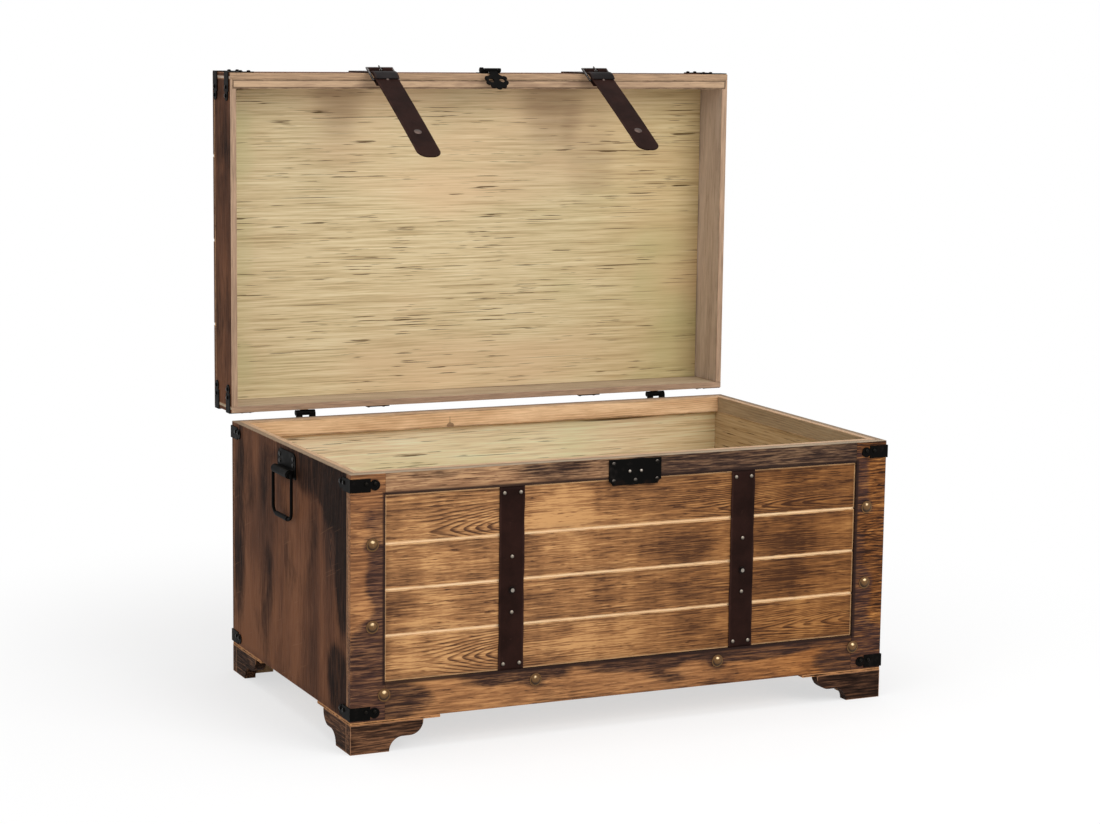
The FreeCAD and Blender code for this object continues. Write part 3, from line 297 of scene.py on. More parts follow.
def wood(name, seed, box=None, fold=(), **changes):
    # box: the board's corners, for its edges; fold: axes mirrored or repeated first, for several boards
    look = {**woodPlain, **changes}
    along, across = look["grain"][:2]
    f = Finish(name)

    def grain(key, start=seed):
        return f.grain(look["grain"], start, woodNoise[key])

    u, v = f.axis[along], f.axis[across]
    ringU, ringV = u, v
    if look["boards"]:
        # each board has its own stretch of grain, by its number
        low, pitch = look["boards"]
        number = f.sum("FLOOR", f.sum("DIVIDE", f.minus(v, low), pitch))
        lot = f.put("ShaderNodeTexWhiteNoise", {"W": number}, noise_dimensions="1D").outputs["Value"]
        shift = f.put("ShaderNodeCombineXYZ", {along.upper(): f.times(number, boardLot["stride"])}).outputs[0]
        f.place = f.put("ShaderNodeVectorMath", {0: f.place, 1: shift}, operation="ADD").outputs[0]
        ringU = f.add(u, f.centred(lot, boardLot["arches"]))
        ringV = f.sum("FLOORED_MODULO", f.minus(v, low), pitch)

    # year rings and arches
    rise = f.minus(f.add(ringV, f.centred(grain("wave"), look["waviness"] * 2)), look["heart"])
    phase = f.sum("DIVIDE", f.sum("SQRT", f.add(f.times(rise, rise), look["archTip"])), look["ringWidth"])
    closeness = f.step(f.sum("ABSOLUTE", rise), look["archWidth"], 0.0)
    broad = grain("broad")
    shown = f.times(f.step(broad, *woodSteps["shown"]), look["rings"])
    for middle, reach, count in look["arches"]:
        climb = f.step(ringU, middle - reach, middle + reach, 0.0, -count)
        phase = f.add(phase, f.times(climb, closeness))
        if look["archRings"]:
            near = f.step(f.distance(ringU, middle), 1.3 * reach, 0.3 * reach, 0.0, look["archRings"])
            shown = f.add(shown, f.times(near, closeness))
    ring = f.sum("FRACT", f.add(phase, f.times(grain("drift"), 0.9)))
    late = f.times(f.step(ring, *woodSteps["late"]), f.step(ring, *woodSteps["early"]))

    # tone from light to dark
    fibre = grain("fibre")
    hair = grain("hair")
    streak = f.step(hair, *woodSteps["streak"])
    tone = f.add(
        0.4 - 0.3 * look["rings"],
        f.times(late, shown),
        f.centred(fibre, look["fibre"]),
        f.centred(broad, look["broad"]),
        f.times(streak, look["streaks"]),
    )
    tone = spots(f, u, v, tone, look["tones"])
    if look["boards"]:
        tone = f.add(tone, f.centred(lot, boardLot["tone"]))
    if look["smears"]:
        tone = f.add(tone, f.centred(grain("smear", smearSeed), look["smears"]))
    if look["fade"]:
        letter, start, end, farTint, farTone = look["fade"]
        far = f.step(f.axis[letter], start, end)
        tone = f.add(tone, f.times(far, farTone))
    stained = [tint(*look[key]) for key in ("light", "middle", "dark")]
    colour = f.ramp(tone, list(zip(look["stops"], stained)))
    if look["fade"]:
        colour = f.mix(far, colour, f.mix(1.0, colour, (*farTint, 1), "MULTIPLY"))

    # scorched patches with soft borders, broken up by the grain
    heat = spots(f, u, v, f.add(grain("cloud"), f.centred(fibre, 0.3)), look["burns"])
    grainy = f.add(fibre, f.centred(hair, 0.8))
    grit = f.step(grainy, *woodSteps["grit"], 1.0 - look["grit"], 1.0)
    burnt = f.times(f.step(heat, look["burnFrom"], look["burnTo"]), grit, look["burnDeep"])
    if look["archRings"]:
        burnt = f.times(burnt, f.step(f.times(late, shown), *woodSteps["burntRing"], 0.7, 1.0))
    charred, browned = (tint(*look["burn"], share) for share in (0.6, 1.25))
    colour = f.mix(burnt, colour, f.mix(f.step(fibre, *woodSteps["char"]), browned, charred))
    if look["endGrain"]:
        facing = f.put("ShaderNodeSeparateXYZ", {"Vector": f.normal}).outputs[along.upper()]
        endFace = f.step(f.sum("ABSOLUTE", facing), *woodSteps["endFace"], 0.0, 0.95)
        colour = f.mix(endFace, colour, tint(*look["endGrain"]))
    if look["inner"]:
        letter, start, end = look["inner"]
        unstained = [tint(*shade) for shade in look["innerTones"]]
        bare = f.ramp(tone, list(zip(look["stops"], unstained)))
        colour = f.mix(f.step(f.axis[letter], start, end), colour, bare)

    # dirt beside the edges (on the back batten a painted shadow line under it), and the stain rubbed off on
    # them
    if box:
        place = dict(f.axis)
        for letter, kind, base in fold:
            shifted = f.minus(place[letter], base)
            if kind == "mirror":
                place[letter] = f.sum("ABSOLUTE", shifted)
            else:
                place[letter] = f.sum("FLOORED_MODULO", shifted, kind)
        inward = f.edge(place, *box)
        soilAndShade = f.times(
            f.step(inward, look["soilAndShadeEdge"], 0.001),
            f.step(grain("dirt"), *look["soilAndShadePatch"]),
            look["soilAndShadeDeep"],
        )
        colour = f.mix(soilAndShade, colour, tint(*look["burn"], 0.7))
        worn = f.add(inward, f.centred(grain("rub"), look["paleEdge"] * 2.2))
        rubbed = f.times(f.step(worn, look["paleEdge"], look["paleEdge"] * 0.35), look["paleDeep"])
        colour = f.mix(rubbed, colour, tint(*look["pale"]))
    if look["fieldStainAndShadow"] or look["lip"]:
        halfWide, halfHigh = sunkField["half"]
        besideX = f.minus(f.sum("ABSOLUTE", f.axis["x"]), halfWide)
        besideZ = f.minus(f.distance(f.axis["z"], sunkField["middle"]), halfHigh)
        beside = f.sum("MAXIMUM", besideX, besideZ)
        ragged = f.add(beside, f.centred(fibre, sunkField["ragged"]))
        # dark line on the frame round the sunk field: dark stain and a painted shadow of the gap between
        # frame and planks
        line = f.step(ragged, *woodSteps["fieldShadowLine"], 0.0, look["fieldStainAndShadow"])
        colour = f.mix(line, colour, tint(*sunkField["dark"]))
        uneven = f.add(beside, f.centred(broad, sunkField["uneven"]))
        lip = f.step(uneven, *woodSteps["lip"], 0.0, look["lip"])
        colour = f.mix(lip, colour, tint(*look["pale"]))
    if look["scratches"]:
        where = f.noise(scratchLook["spread"], seed + 9, 2)
        for lean, order in scratchLook["leans"]:
            scored = f.noise(scratchLook["line"], seed + order, 2, 0.5, 0.0, (lean, 0.0, 0.0))
            marks = f.times(f.step(scored, *woodSteps["scored"]), f.step(where, *woodSteps["scoredPatch"]))
            colour = f.mix(f.times(marks, look["scratches"]), colour, tint(*look["pale"]))
    if look["raw"]:
        letter, edgePlace, rawColour = look["raw"]
        rawTone = f.mix(f.step(fibre, *woodSteps["rawFibre"]), tint(*rawColour), tint(*rawColour, 0.74))
        fromEdge = f.distance(f.axis[letter], edgePlace)
        colour = f.mix(f.step(fromEdge, *woodSteps["rawEdge"]), colour, rawTone)

    rough = f.add(look["roughness"], f.centred(fibre, 0.3), f.times(burnt, 0.08))
    height = f.add(f.times(fibre, 0.7), f.times(late, -0.25), f.times(streak, -0.6))
    return f.shade(colour, rough, height, 0.5, 0.0006, Specular_IOR_Level=look["gloss"])


# front planks: grain along the front, pale arches on the lowest and the highest
plankLook = {
    "fade": ("x", -0.22, 0.3, (0.66, 0.56, 0.42), 0.18),
    "burnFrom": 0.56, "burnTo": 0.95, "burnDeep": 0.7,
    "fibre": 2.2, "streaks": 0.5, "smears": 1.1, "lip": 0.34,
}
planks = {
    1: {
        "heart": 0.115, "arches": ((-0.225, 0.075, 6), (0.3, 0.12, 6)), "rings": 0.35, "archRings": 0.55,
        "tones": (
            (-0.1, 0.118, 0.09, 0.012, -0.32), (-0.2, 0.104, 0.05, 0.02, 0.15),
            (0.08, 0.13, 0.05, 0.02, 0.25), (-0.34, 0.12, 0.02, 0.03, 0.18),
            (0.27, 0.125, 0.07, 0.03, -0.05),
        ),
    },
    2: {
        "heart": 0.23, "arches": ((0.1, 0.2, 5),), "rings": 0.2, "ringWidth": 0.004,
        "tones": (
            (-0.25, 0.19, 0.1, 0.03, 0.16), (0.02, 0.18, 0.08, 0.03, 0.12),
            (0.25, 0.18, 0.06, 0.03, 0.22), (-0.33, 0.19, 0.025, 0.03, 0.25),
        ),
    },
    3: {
        "heart": 0.262, "arches": ((-0.27, 0.1, 4),), "rings": 0.2, "ringWidth": 0.004,
        "tones": (
            (-0.05, 0.25, 0.08, 0.03, 0.05), (0.07, 0.24, 0.06, 0.03, 0.26),
            (0.25, 0.24, 0.06, 0.03, 0.24), (-0.33, 0.24, 0.03, 0.03, 0.25),
            (-0.22, 0.25, 0.1, 0.03, 0.12),
        ),
    },
    4: {
        "heart": 0.288, "arches": ((-0.225, 0.075, 6), (0.2, 0.14, 6)), "rings": 0.35, "archRings": 0.55,
        "tones": (
            (-0.12, 0.292, 0.09, 0.01, -0.3), (-0.02, 0.325, 0.1, 0.014, 0.08),
            (-0.3, 0.3, 0.06, 0.03, 0.15), (-0.34, 0.31, 0.02, 0.03, 0.15),
            (0.26, 0.3, 0.07, 0.03, -0.08),
        ),
    },
}
for number, changes in planks.items():
    name = f"front_plank_{number}"
    paint(wood(f"plankWood{number}", 10 + number * 7.3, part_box(name), **plankLook, **changes), name)

# the frame round them, scorched at its corners, and darker round its dome nails
stileRaw = ("z", rimZ, (172, 152, 128))
frameWood = {
    "light": (186, 134, 86), "middle": (146, 100, 63), "dark": (70, 44, 32),
    "burn": (60, 40, 37), "burnFrom": 0.5, "grit": 0.34,
    "rings": 0.2, "fibre": 1.8, "streaks": 0.45,
    "fieldStainAndShadow": 0.9, "paleDeep": 0.0, "soilAndShadeDeep": 0.2,
}
framePieces = {
    "front_left_stile": {
        "heart": 0.15, "arches": ((-0.375, 0.05, 5),), "raw": stileRaw, "middle": (138, 92, 58),
        "burns": (
            (-0.357, 0.225, 0.022, 0.05, 0.44), (-0.36, 0.125, 0.045, 0.06, 0.66),
            (-0.362, 0.31, 0.02, 0.02, 0.22), (-0.37, 0.064, 0.06, 0.034, 0.62),
            # the last two: darker rings round the dome nails
            (-0.37, 0.168, 0.013, 0.013, 0.25), (-0.37, 0.276, 0.013, 0.013, 0.25),
        ),
    },
    "front_right_stile": {
        "heart": 0.24, "arches": ((0.37, 0.05, 5),), "raw": stileRaw,
        "fade": ("x", 0.1, 0.2, (0.72, 0.58, 0.38), 0.16),
        "fibre": 3.4, "streaks": 0.9, "broad": 1.8, "grit": 0.5,
        "light": (206, 158, 106), "dark": (52, 32, 23),
        "burns": (
            (0.352, 0.315, 0.022, 0.05, 0.55), (0.352, 0.22, 0.018, 0.04, 0.25),
            (0.37, 0.072, 0.05, 0.045, 0.66), (0.356, 0.145, 0.03, 0.05, 0.5),
            # the last two: darker rings round the dome nails
            (0.37, 0.168, 0.013, 0.013, 0.25), (0.37, 0.276, 0.013, 0.013, 0.25),
        ),
    },
    "front_top_rail": {
        "heart": 0.33, "raw": stileRaw,
        "middle": (146, 108, 78), "light": (188, 148, 108), "burn": (46, 32, 29),
        "burns": (
            (0.22, 0.354, 0.24, 0.06, 0.84), (-0.12, 0.358, 0.07, 0.026, 0.18),
            (-0.3, 0.364, 0.06, 0.01, 0.18),
        ),
    },
    "front_bottom_rail": {
        "heart": 0.02, "fade": ("x", 0.0, 0.32, (0.82, 0.7, 0.53), 0.0), "burn": (52, 35, 31),
        "burns": (
            (-0.345, 0.064, 0.06, 0.028, 0.5), (-0.17, 0.088, 0.085, 0.018, 0.42),
            (0.02, 0.091, 0.09, 0.018, 0.8), (0.2, 0.091, 0.1, 0.018, 0.85),
            (0.06, 0.066, 0.04, 0.012, 0.22), (0.335, 0.064, 0.045, 0.03, 0.44),
            # darker rings round the dome nails
            (-0.1375, 0.0765, 0.015, 0.013, 0.25), (0.1375, 0.0765, 0.015, 0.013, 0.25),
        ),
    },
}
for order, (name, changes) in enumerate(framePieces.items()):
    finishName = name.replace("front_", "frame_")
    paint(wood(finishName, 60 + order * 5.9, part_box(name), **{**frameWood, **changes}), name)

splineLook = {
    "light": (255, 226, 184), "middle": (252, 214, 166), "dark": (226, 176, 128),
    "burnFrom": 0.85, "burnTo": 0.99, "burnDeep": 0.3,
    "rings": 0.1, "fibre": 1.0, "endGrain": (74, 46, 32),
}
paint(wood("splineWood", 3.3, **splineLook), "front_splines", "lid_splines")
print("front wood done")

# dark stained boards of the sides, the back and the lid
darkWood = {
    "light": (117, 76, 51), "middle": (90, 56, 37), "dark": (46, 28, 20),
    "burn": (19, 11, 9), "burnFrom": 0.5, "burnTo": 0.92, "grit": 0.25,
    "pale": (160, 118, 88), "paleEdge": 0.0012,
    "rings": 0.16, "ringWidth": 0.006, "waviness": 0.03,
    "fibre": 0.9, "broad": 1.1, "streaks": 0.2, "gloss": 0.03,
}
bodyRaw = ("z", rimZ, (156, 134, 112))
lidRaw = ("y", lidRimY, (186, 155, 129))
sideLook = {
    "grain": "zyx", "raw": bodyRaw,
    "fibre": 0.6, "streaks": 0.12, "scratches": 0.14,
    "burns": (
        (0.265, -0.264, 0.12, 0.036, 0.8), (0.335, -0.23, 0.05, 0.065, 0.62),
        (0.085, -0.238, 0.052, 0.042, 0.62), (0.33, 0.15, 0.1, 0.05, 0.22),
        (0.2, 0.17, 0.16, 0.026, 0.28), (0.35, -0.12, 0.035, 0.14, 0.42),
        (0.22, 0.05, 0.16, 0.034, 0.22), (0.2, -0.145, 0.14, 0.026, 0.2),
    ),
    "tones": (
        (0.1, 0.12, 0.09, 0.14, -0.36), (0.3, -0.24, 0.1, 0.05, 0.36),
        (0.17, -0.07, 0.2, 0.046, -0.24), (0.2, 0.05, 0.24, 0.036, 0.2),
        (0.2, -0.15, 0.24, 0.026, 0.14),
    ),
}
lidEndLook = {
    "grain": "zyx", "heart": 0.24, "raw": lidRaw,
    "burns": (
        (0.75, 0.245, 0.075, 0.06, 0.18), (0.53, 0.245, 0.06, 0.06, 0.18),
        (0.85, 0.245, 0.02, 0.05, 0.2),
    ),
}
darkBoards = {
    "left_side_board": {**sideLook, "heart": -0.212, "arches": ((0.305, 0.085, 9),), "archRings": 1.1},
    "right_side_board": {**sideLook, "heart": 0.05, "arches": ((0.2, 0.12, 9),), "archRings": 0.3},
    "back_board": {
        "heart": 0.2, "arches": ((-0.2, 0.2, 9), (0.25, 0.2, 8)), "archRings": 0.3, "raw": bodyRaw,
    },
    "lid_front_board": {
        "grain": "xyz", "heart": 0.24, "raw": ("y", lidRimY, (184, 152, 122)), "inner": ("z", 0.862, 0.861),
    },
    "lid_back_board": {
        "grain": "xyz", "heart": 0.24, "raw": lidRaw, "inner": ("z", 0.384, 0.385),
        "innerTones": ((202, 182, 156), (178, 158, 132), (130, 110, 92)),
    },
    "lid_left_board": {**lidEndLook, "inner": ("x", -0.396, -0.395)},
    "lid_right_board": {**lidEndLook, "inner": ("x", 0.396, 0.395)},
}
for order, (name, changes) in enumerate(darkBoards.items()):
    paint(wood(f"dark_{name}", 130 + order * 6.7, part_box(name), **{**darkWood, **changes}), name)

# top of the lid: four planks with a small gap between them, stained like the front's frame
lidLow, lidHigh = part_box("lid_planks")
plankGap = 0.003
plankPitch = (lidHigh[2] - lidLow[2] + plankGap) / 4
onePlank = ((lidLow[0], lidLow[1], 0.0), (lidHigh[0], lidHigh[1], plankPitch - plankGap))
lidTop = {
    **frameWood,
    "boards": (lidLow[2], plankPitch),
    "heart": 0.05, "arches": ((-0.24, 0.09, 7), (0.2, 0.12, 7)), "archRings": 0.5,
    "smears": 1.0, "burnFrom": 0.56, "burnDeep": 0.8,
    "fieldStainAndShadow": 0.0, "paleDeep": 0.5, "endGrain": (84, 52, 35),
    "burns": (
        (-0.385, 0.45, 0.05, 0.08, 0.34), (0.385, 0.78, 0.05, 0.1, 0.34),
        (0.1, 0.66, 0.09, 0.05, 0.26), (-0.06, 0.5, 0.1, 0.04, 0.24),
        (-0.28, 0.72, 0.08, 0.04, 0.22), (0.3, 0.44, 0.08, 0.04, 0.24),
    ),
}
paint(wood("lidTopWood", 190.0, onePlank, (("z", plankPitch, lidLow[2]),), **lidTop), "lid_planks")

# feet: the four stand mirrored about the trunk's middle, so one box serves all
footFold = (("x", "mirror", 0.0), ("y", "mirror", trunkMiddle))
footLook = {
    **darkWood,
    "light": (126, 88, 62), "middle": (74, 51, 38), "dark": (30, 20, 15),
    "fade": ("x", 0.05, 0.3, (0.62, 0.62, 0.66), 0.1),
    "burnFrom": 0.46, "burnTo": 0.8, "grit": 0.5,
    "fibre": 3.0, "soilAndShadeDeep": 0.6,
}
footPieces = {
    "foot_plates": (
        "footPlateWood", 211.0, ((0.274, 0.1175, 0.039), (0.4, 0.2435, 0.043)),
        {"grain": "xyz", "pale": (206, 148, 98), "paleEdge": 0.0022},
    ),
    "foot_face_brackets": ("footFaceWood", 223.0, ((0.298, 0.2275, 0.0), (0.4, 0.2435, 0.039)), {}),
    "foot_side_brackets": (
        "footSideWood", 231.0, ((0.384, 0.1415, 0.0), (0.4, 0.2275, 0.039)), {"grain": "yzx"},
    ),
}
for name, (finishName, seed, box, changes) in footPieces.items():
    paint(wood(finishName, seed, box, footFold, **{**footLook, **changes}), name)

# bottom and foot blocks of raw pine, and the front's lining, straw-coloured inside
rawPine = {
    "light": (206, 172, 132), "middle": (186, 150, 112), "dark": (142, 106, 76),
    "burn": (120, 92, 70), "burnFrom": 0.8, "burnTo": 1.0,
    "rings": 0.25, "paleDeep": 0.2,
}
bottomLook = {**rawPine, "grain": "xyz", "arches": ((0.0, 0.3, 12),)}
frontLiningLook = {
    **darkWood,
    "light": (150, 116, 88), "middle": (120, 88, 66),
    "inner": ("y", -0.2714, -0.2708),
    "innerTones": ((230, 214, 174), (210, 190, 148), (160, 137, 98)),
    "fibre": 1.4, "raw": bodyRaw,
}
paint(wood("bottomPine", 241.0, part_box("bottom_board"), **bottomLook), "bottom_board")
paint(wood("blockPine", 247.0, grain="zxy", **rawPine), "foot_blocks")
paint(wood("frontLiningWood", 251.0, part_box("front_lining"), **frontLiningLook), "front_lining")

# peach pine battens
peachPine = {
    "light": (240, 204, 160), "middle": (220, 180, 136), "dark": (172, 126, 88),
    "burn": (140, 98, 68), "burnFrom": 0.78, "burnTo": 0.98, "burnDeep": 0.6,
    "pale": (236, 200, 160), "paleDeep": 0.4,
    "soilAndShadeEdge": 0.006, "soilAndShadeDeep": 0.15,
    "rings": 0.3, "ringWidth": 0.004, "heart": 0.33,
    "fibre": 0.6, "streaks": 0.15, "raw": ("z", rimZ, (208, 172, 138)),
}
battens = {
    "back_batten": {
        "arches": ((0.2, 0.2, 4),), "broad": 1.2, "fibre": 0.9, "light": (250, 212, 168),
        # the dark line along its edges is a painted shadow under the batten, where it stands proud of the
        # lining
        "burn": (70, 42, 26), "grit": 0.1, "soilAndShadeEdge": 0.003, "soilAndShadeDeep": 0.6,
        "burns": ((-0.068, 0.3475, 0.0065, 0.0045, 0.9), (-0.069, 0.356, 0.0022, 0.009, 0.4)),  # a knot
    },
    "front_batten": {},
    "left_batten": {"grain": "yzx"},
    # a darker, greyer copy of the peach pine: painted shade on the inside face turned from the light
    "right_batten": {
        "grain": "yzx", "light": (182, 162, 132), "middle": (158, 138, 110), "dark": (114, 96, 76),
    },
    "lid_front_batten": {
        "grain": "xyz", "heart": 0.19, "arches": ((-0.1, 0.2, 4),), "raw": None,
        "light": (206, 174, 140), "middle": (164, 136, 110), "dark": (100, 76, 60),
        "burn": (74, 50, 38), "burnFrom": 0.56, "burnTo": 0.85,
        "soilAndShadeEdge": 0.0034, "soilAndShadeDeep": 0.95, "soilAndShadePatch": (0.2, 0.45),
    },
}
for order, (name, changes) in enumerate(battens.items()):
    paint(wood(f"pine_{name}", 300 + order * 4.3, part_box(name), **{**peachPine, **changes}), name)
print("boards done")

# straw-coloured linings: rotary-cut veneer with thin dark pores along the grain
liningPlain = {
    "light": (236, 221, 182), "middle": (217, 198, 156), "dark": (168, 145, 104),
    "green": (200, 197, 148), "peach": (228, 197, 158), "smudgeAndShade": (140, 112, 88), "pore": (78, 56, 30),
    "stops": (0.28, 0.5, 0.78),
    "fade": (0.8, 0.76, 0.66),  # painted shade: tint at the right end, away from the light
    "paintedShadeFrom": 0.05, "paintedShadeTo": 0.42,
    "shade": (1.0, 1.0, 1.0),    # the whole lining darker or lighter
    "smudgesAndShadows": (),               # grey smudges and painted shadows, written as the wood's tones are
    "mould": (),                 # green spots
    "roughness": 0.72, "gloss": 0.08,
}
# written as the wood's noise is
liningNoise = {
    "stripes": (9, 400, 0, 3, 0.7),
    "bands": (3.5, 100, 1, 4, 0.62),
    "green": (3, 6, 2, 3),
    "peach": (2.4, 5, 3, 3),
    "dashes": (15, 520, 4, 2, 0.5),
    "where": (6, 24, 5, 2),
    "longPores": (4, 400, 6, 1, 0.5),
}


def strawLining(name, seed, axes, **changes):
    # colour = fine stripes along the grain, tinted by two slow clouds, with grey smudges (on the lid painted
    # shadows) and dark pores over them, and a painted shade towards the right end
    look = {**liningPlain, **changes}
    f = Finish(name)

    def grain(key):
        return f.grain(axes, seed, liningNoise[key])

    def straw(key):
        return tint(*np.minimum(np.multiply(look["shade"], look[key]), 250))

    u, v = f.axis[axes[0]], f.axis[axes[1]]
    stripes, bands = grain("stripes"), grain("bands")
    tone = f.add(f.times(stripes, 1.05), f.times(bands, 0.35), -0.21)
    colour = f.ramp(tone, list(zip(look["stops"], map(straw, ("light", "middle", "dark")))))
    green = spots(f, u, v, grain("green"), look["mould"])
    colour = f.mix(f.step(green, 0.48, 0.74, 0.0, 0.6), colour, straw("green"))
    colour = f.mix(f.step(grain("peach"), 0.48, 0.72, 0.0, 0.6), colour, straw("peach"))
    # grey smudges from the bands, and on the lid painted shadows under its batten and straps
    dirt = spots(f, u, v, f.centred(bands, 0.5), look["smudgesAndShadows"])
    colour = f.mix(f.step(dirt, 0.05, 0.8), colour, straw("smudgeAndShade"))
    pore = f.times(f.step(grain("dashes"), 0.62, 0.68), f.step(grain("where"), 0.4, 0.56))
    colour = f.mix(f.times(pore, 0.9), colour, straw("pore"))
    colour = f.mix(f.step(grain("longPores"), 0.7, 0.76, 0.0, 0.85), colour, straw("pore"))
    # painted shade: the lining darker towards the right end, away from the light
    shaded = f.mix(1.0, colour, (*look["fade"], 1), "MULTIPLY")
    colour = f.mix(f.step(f.axis["x"], look["paintedShadeFrom"], look["paintedShadeTo"]), colour, shaded)
    rough = f.add(look["roughness"], f.times(stripes, 0.15))
    height = f.add(stripes, f.times(pore, -0.8))
    return f.shade(colour, rough, height, 0.4, 0.0005, Specular_IOR_Level=look["gloss"])


linings = {
    "lid_lining": ("lidStraw", 1.7, "xzy", {
        "shade": (0.98, 0.97, 0.965),
        # painted shadows: under the two straps, and along the top under the lid's batten
        "smudgesAndShadows": (
            (-0.21, 0.845, 0.05, 0.08, 0.36), (0.13, 0.84, 0.06, 0.09, 0.38),
            (0.2, 0.74, 0.05, 0.1, 0.28), (-0.02, 0.853, 0.36, 0.022, 0.1),
        ),
        "mould": ((-0.375, 0.6, 0.04, 0.24, 0.22), (0.33, 0.55, 0.05, 0.1, 0.12)),
    }),
    "back_lining": ("backStraw", 8.1, "xzy", {"shade": (1.12, 1.12, 1.17)}),
    "left_lining": ("leftStraw", 15.2, "yzx", {"shade": (0.92, 0.92, 0.92)}),
    "right_lining": ("rightStraw", 22.9, "yzx", {
        "shade": (0.93, 0.9, 0.92), "mould": ((0.0, 0.2, 0.5, 0.5, -0.4),),
    }),
}
for name, (finishName, seed, axes, changes) in linings.items():
    paint(strawLining(finishName, seed, axes, **changes), name)
print("linings done")

# black iron
ironLook = {
    "paint": (12, 11, 10), "rubbed": (33, 29, 27), "rust": (42, 27, 21),
    "patches": 60, "grit": 900, "rustClouds": 34,  # waves in a metre
    "rubbedFrom": (0.55, 0.8), "rustFrom": (0.6, 0.78),
}


def blackIron(name, seed, roughness=0.45):
    # worn black paint: rubbed grey patches and a little rust in slow noise
    f = Finish(name)
    patch = f.noise(ironLook["patches"], seed, 5, 0.65)
    grit = f.noise(ironLook["grit"], seed + 1, 2)
    rust = f.noise(ironLook["rustClouds"], seed + 2, 4, 0.6)
    rubbed = f.step(patch, *ironLook["rubbedFrom"])
    colour = f.mix(rubbed, tint(*ironLook["paint"]), tint(*ironLook["rubbed"]))
    colour = f.mix(f.step(rust, *ironLook["rustFrom"], 0.0, 0.5), colour, tint(*ironLook["rust"]))
    rough = f.add(roughness, f.centred(patch, -0.35))
    height = f.add(f.times(grit, 0.25), patch)
    return f.shade(colour, rough, height, 0.25, 0.0006, Specular_IOR_Level=0.02)


paint(blackIron("cornerIron", 2.0), "body_corner_irons", "lid_corner_irons",
      "hinge_body_leaves", "hinge_lid_leaves", "hinge_pins")
paint(blackIron("lockIron", 5.0, 0.5), "lock_plate", "hasp_base", "hasp_pin", "hasp_tongue")
paint(blackIron("handleIron", 9.0, 0.5), "handle_plates", "handle_bail_left", "handle_bail_right")

# brass, steel and bronze
metalPlain = {
    "patches": 90,          # waves in a metre
    "roughness": 0.32, "metal": 1.0, "gloss": 0.5,
    "highlightCrown": (0.55, 0.92),  # how squarely a face looks up front where polish and the painted highlight start and are full
    # the way the polish and painted highlight face: up front, tilted up and a little to the left
    "upFront": (-0.1, -0.88, 0.46),
    "dullBehind": None,     # place in y behind which the metal is dull, with no polish and no painted highlight
    "blackBeyond": None,    # distance from the trunk's middle past which heads are blackened
    "under": None,          # colour of a head's underside: painted shade with dirt
    "underFrom": (0.88, 0.55),
}


def bareMetal(name, seed, polishedHighlight, dull, **changes):
    # polish and a painted highlight on the upper front of a head's crown, dull patina on its flanks and in
    # patches, and if asked a painted shade with dirt underneath
    look = {**metalPlain, **changes}
    f = Finish(name)
    patch = f.noise(look["patches"], seed, 4, 0.6)
    facing = f.put("ShaderNodeVectorMath", {0: f.normal, 1: look["upFront"]}, operation="DOT_PRODUCT")
    upper = f.add(facing.outputs["Value"], f.centred(patch, 0.2))
    polishAndHighlight = f.step(upper, *look["highlightCrown"])
    if look["dullBehind"]:
        polishAndHighlight = f.times(polishAndHighlight, f.step(f.axis["y"], look["dullBehind"], look["dullBehind"] - 0.0006))
    colour = f.mix(polishAndHighlight, tint(*dull), tint(*polishedHighlight))
    if look["under"]:
        # painted shade with dirt on the flanks turned down and away
        colour = f.mix(f.step(upper, *look["underFrom"]), colour, tint(*look["under"]))
    if look["blackBeyond"]:
        outward = f.sum("ABSOLUTE", f.axis["x"])
        black = f.step(outward, look["blackBeyond"], look["blackBeyond"] + 0.002)
        colour = f.mix(f.times(black, 0.97), colour, tint(*ironLook["paint"]))
    rough = f.add(look["roughness"], f.centred(patch, 0.3))
    return f.shade(colour, rough, patch, 0.1, 0.0002,
                   Metallic=look["metal"], Specular_IOR_Level=look["gloss"])


brassLook = {"roughness": 0.3, "metal": 0.2, "gloss": 0.25, "highlightCrown": (0.945, 1.0), "under": (48, 31, 16)}
nailLook = {"blackBeyond": 0.25}
screwLook = {"roughness": 0.42, "highlightCrown": (0.86, 0.99)}
metals = {  # pieces, seed, polished highlight, dull, what differs from the plain metal
    "agedBrass": (["dome_nails"], 3.0, (228, 198, 150), (104, 73, 39), brassLook),
    "nailSteel": (["body_small_nails", "lid_small_nails"], 4.0, (138, 128, 116), (60, 52, 46), nailLook),
    "studSteel": (["lock_studs"], 5.0, (150, 142, 132), (64, 56, 50), {}),
    "snapSteel": (["snap_studs"], 5.5, (150, 142, 132), (34, 28, 26), {"dullBehind": -0.2852}),
    "screwSteel": (["body_screws", "lid_screws"], 6.0, (96, 90, 84), (22, 20, 18), screwLook),
    "snapBronze": (["snap_cap_left", "snap_cap_right"], 7.0, (88, 74, 68), (60, 48, 44), {"roughness": 0.4}),
    "buckleSteel": (["buckle_left", "buckle_right"], 8.0, (110, 106, 104), (44, 40, 39), {"roughness": 0.28}),
}
for name, (pieces, seed, polishedHighlight, dull, changes) in metals.items():
    paint(bareMetal(name, seed, polishedHighlight, dull, **changes), *pieces)
print("metal done")

# leather
hideLook = {
    "strap": ((42, 25, 21), (29, 17, 14)),           # lighter and darker hide
    # a greyer copy of the strap's hide for the keeper: painted sheen
    "keeper": ((46, 42, 42), (30, 27, 27)),
    "rubbed": (62, 41, 35),
    "mottle": (0.3, 0.7), "rubPatch": (0.3, 0.6), "scuff": (0.62, 0.78),
    "rubEdge": (0.0165, 0.02),                     # distances from a strap's middle line
    "pebbles": 900.0, "creases": 120, "clouds": 22,  # waves in a metre
}


